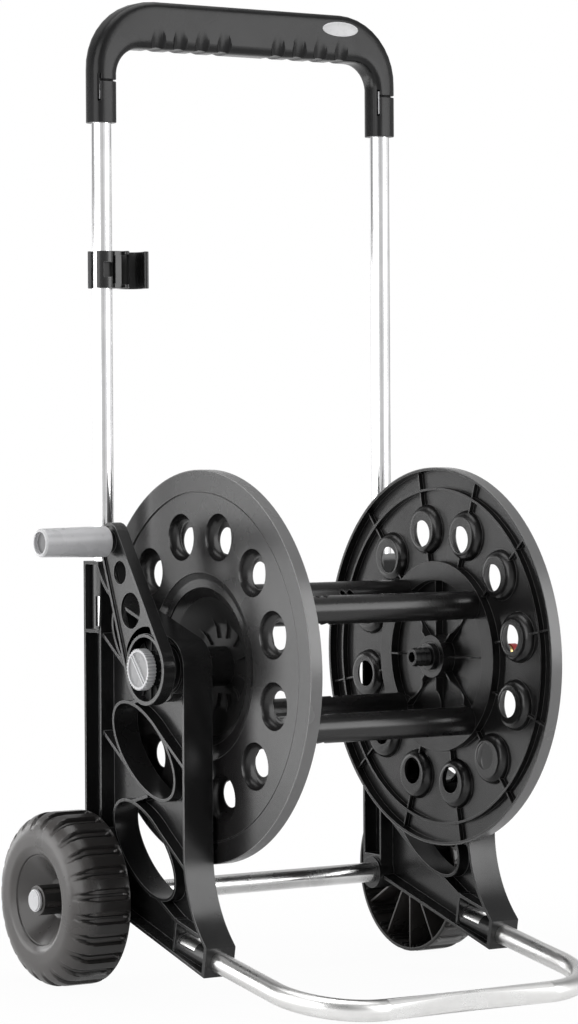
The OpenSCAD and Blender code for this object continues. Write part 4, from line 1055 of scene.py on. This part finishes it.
def treadPath(form):
    # the section with its tread and barrel cut into short steps; each point has its run along the tread, or None
    corners = filletPath(form["corners"], form["arcSteps"], form["treadGap"])
    run, path = 0.0, []
    for index, point in enumerate(corners):
        following = corners[(index + 1) % len(corners)]
        span = (following - point).length
        outer = min(point.x, following.x) > form["skinFrom"] and onSkin(form, point)
        barrel = (max(point.x, following.x) < form["barrelRadius"] + form["barrelSlack"]
                  and point.y < form["barrelTo"] and following.y > form["barrelFrom"])
        cuts = max(1, math.ceil(span / form["treadGap"])) if outer or barrel else 1
        for cut in range(cuts):
            path.append((point.lerp(following, cut / cuts), run + span * cut / cuts if outer else None))
        if outer:
            run += span
    return path


def smoothStep(low, high, value):
    share = max(0.0, min(1.0, (value - low) / (high - low)))
    return share * share * (3 - 2 * share)


def grooveOffset(form, turn):
    # distance from the middle of the nearest groove
    pitch = 2 * math.pi * form["treadRadius"] / form["lugs"]
    return abs((turn * form["lugs"] / (2 * math.pi)) % 1 - 0.5) * pitch


def pipRise(form, run, turn):
    # share of a pip's height
    away = math.hypot(grooveOffset(form, turn), run - form["pipAt"]) / form["pipRadius"]
    return math.sqrt(1 - away * away) if away < 1 else 0.0


def grooveDepth(form, run, turn):
    # depth of the tread's surface below the tyre's round form
    across = grooveOffset(form, turn)
    taper = smoothStep(form["taperTo"], form["taperFrom"], run) if run > form["taperFrom"] else 1.0
    half = form["grooveTip"] + (form["grooveHalf"] - form["grooveTip"]) * taper
    # round inner end
    inner = form["grooveStart"] + form["grooveHalf"]
    distance = math.hypot(across, max(0.0, inner - run))
    wall = form["grooveWall"]
    share = form["shallowEnd"] + (1 - form["shallowEnd"]) * taper
    depth = form["grooveDepth"] * share * smoothStep(half, half - wall, distance)
    bar = smoothStep(form["barHalf"], form["barHalf"] - wall, across)
    depth -= min(depth, form["barHeight"] * taper) * bar
    depth *= smoothStep(form["fadeTo"], form["fadeFrom"], run)
    return max(depth - form["pipHeight"] * pipRise(form, run, turn), 0.0)


def pressedPoint(form, path, column, turn):
    # radius, distance from the tyre's inner edge and painted shade of one point of the wheel
    point, run = path[column]
    if run is not None:
        normal = path[(column + 1) % len(path)][0] - path[column - 1][0]
        normal = Vector((normal.y, -normal.x)).normalized()
        depth = grooveDepth(form, run, turn)
        radius, along = point - normal * depth
        # painted shade: the tread darker than the side wall, its grooves darkest, none on the pips
        tread = form["treadShade"] * smoothStep(form["treadShadeTo"], form["treadShadeFrom"], run)
        groove = form["grooveShade"] * smoothStep(*form["grooveShadeDepth"], depth)
        return radius, along, max(tread, groove) * (1 - pipRise(form, run, turn))
    radius, along = point
    onBarrel = abs(radius - form["barrelRadius"]) < form["barrelSlack"]
    # painted shade on the barrel, none in its slots, so these show as pale lines
    if onBarrel and form["barrelFrom"] < along < form["barrelTo"]:
        sunk = smoothStep(*form["barrelSlotEdge"], math.sin(turn * form["barrelSlots"]))
        return radius - form["barrelSlotDepth"] * sunk, along, form["barrelShade"] * (1 - sunk)
    # painted shade in the dish
    inDish = radius < form["dishRadius"] and along > form["dishFrom"]
    return radius, along, form["dishShade"] if inDish else 0.0


def makeRib(form, hub, outward, turn):
    # one rib behind the wheel's face
    pickNone()
    bpy.ops.mesh.primitive_cube_add(size=1)
    rib = bpy.context.object
    spoke = Vector((0, math.cos(turn), math.sin(turn)))
    aside = Vector((0, -math.sin(turn), math.cos(turn)))
    for vertex in rib.data.vertices:
        corner = (1 if vertex.co.x > 0 else 0) if vertex.co.y < 0 else (2 if vertex.co.x > 0 else 3)
        radius, along = form["ribCorners"][corner]
        shift = form["ribThickness"] / 2 * (1 if vertex.co.z > 0 else -1)
        vertex.co = hub + (Vector((outward * along, 0, 0)) + spoke * radius + aside * shift) / 1000
    editWhole(rib)
    bpy.ops.mesh.normals_make_consistent(inside=False)
    bpy.ops.mesh.bevel(offset=form["ribEdge"] / 1000, segments=softening["segments"], affect="EDGES")
    endEdit()
    return rib


def makeWheel(node, name):
    form = wheelForm
    path = treadPath(form)
    low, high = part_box(node)
    outward = 1 if low[0] > (cadBox[0][0] + cadBox[1][0]) / 2 else -1
    inset = -min(corner[1] for corner in form["corners"]) / 1000
    start = low[0] + inset if outward > 0 else high[0] - inset
    hub = Vector((start, (low[1] + high[1]) / 2, (low[2] + high[2]) / 2))
    piece, points = sweptGrid(name, len(path), form["around"])
    marks = []
    for vertex, column, turn in points:
        radius, along, shade = pressedPoint(form, path, column, turn)
        vertex.co = hub + Vector((outward * along, radius * math.cos(turn), radius * math.sin(turn))) / 1000
        marks.append(shade)
    hollow = piece.data.attributes.new("hollow", "FLOAT", "POINT")
    hollow.data.foreach_set("value", marks)
    closeSurface(piece)
    ribs = [makeRib(form, hub, outward, 2 * math.pi * index / form["ribs"]) for index in range(form["ribs"])]
    pickOnly(piece)
    for rib in ribs:
        rib.select_set(True)
    bpy.ops.object.join()
    piece.data.materials.clear()
    piece.data.materials.append(finishes["wheelPlastic"])
    shadeSmooth()
    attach(piece, node)
    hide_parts(node)


makeWheel("left_wheel", "leftWheel")
makeWheel("right_wheel", "rightWheel")
print("wheels made")


# bare oval plate on the front of the grip
badgeForm = {
    "middle": (106.6, 937.0), "before": -200, "width": 43.0, "height": 14.6, "thickness": 1.0, "around": 96,
    "sunk": 0.5, "border": 0.10, "step": 0.2, "rise": 0.25, "edge": 0.15, "topFacing": 0.9,
}


def makeBadge():
    form = badgeForm
    spot = cart(form["middle"][0], form["before"], form["middle"][1])
    surface = surfaceOf(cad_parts["handle_grip"].data)
    hit, normal, _, _ = surface.ray_cast(spot, Vector((0, 1, 0)))
    pickNone()
    bpy.ops.mesh.primitive_cylinder_add(vertices=form["around"], radius=1, depth=1)
    piece = bpy.context.object
    piece.name = "ovalBadge"
    editWhole(piece)
    bpy.ops.transform.resize(value=(form["width"] / 2000, form["height"] / 2000, form["thickness"] / 1000))
    endEdit()
    # the top face gets a raised border round a flat field
    for face in piece.data.polygons:
        face.select = face.normal.z > form["topFacing"]
    for edge in piece.data.edges:
        edge.select = False
    for vertex in piece.data.vertices:
        vertex.select = False
    bpy.ops.object.mode_set(mode="EDIT")
    bpy.ops.mesh.select_mode(type="FACE")
    bpy.ops.mesh.inset(thickness=form["border"] * form["height"] / 1000, depth=0)
    bpy.ops.mesh.inset(thickness=form["step"] / 1000, depth=-form["rise"] / 1000)
    endEdit()
    facing = Vector((0, normal.y, normal.z)).normalized()
    across = Vector((1, 0, 0))
    upward = facing.cross(across)
    turn = Matrix((across, upward, facing)).transposed().to_4x4()
    lift = (form["thickness"] / 2 - form["sunk"]) / 1000
    piece.data.transform(Matrix.Translation(hit + facing * lift) @ turn)
    softEdge(piece, form["edge"])
    piece.data.materials.append(finishes["badgeEnamel"])
    shadeSmooth()
    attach(piece, "frame")


makeBadge()
print("badge made")
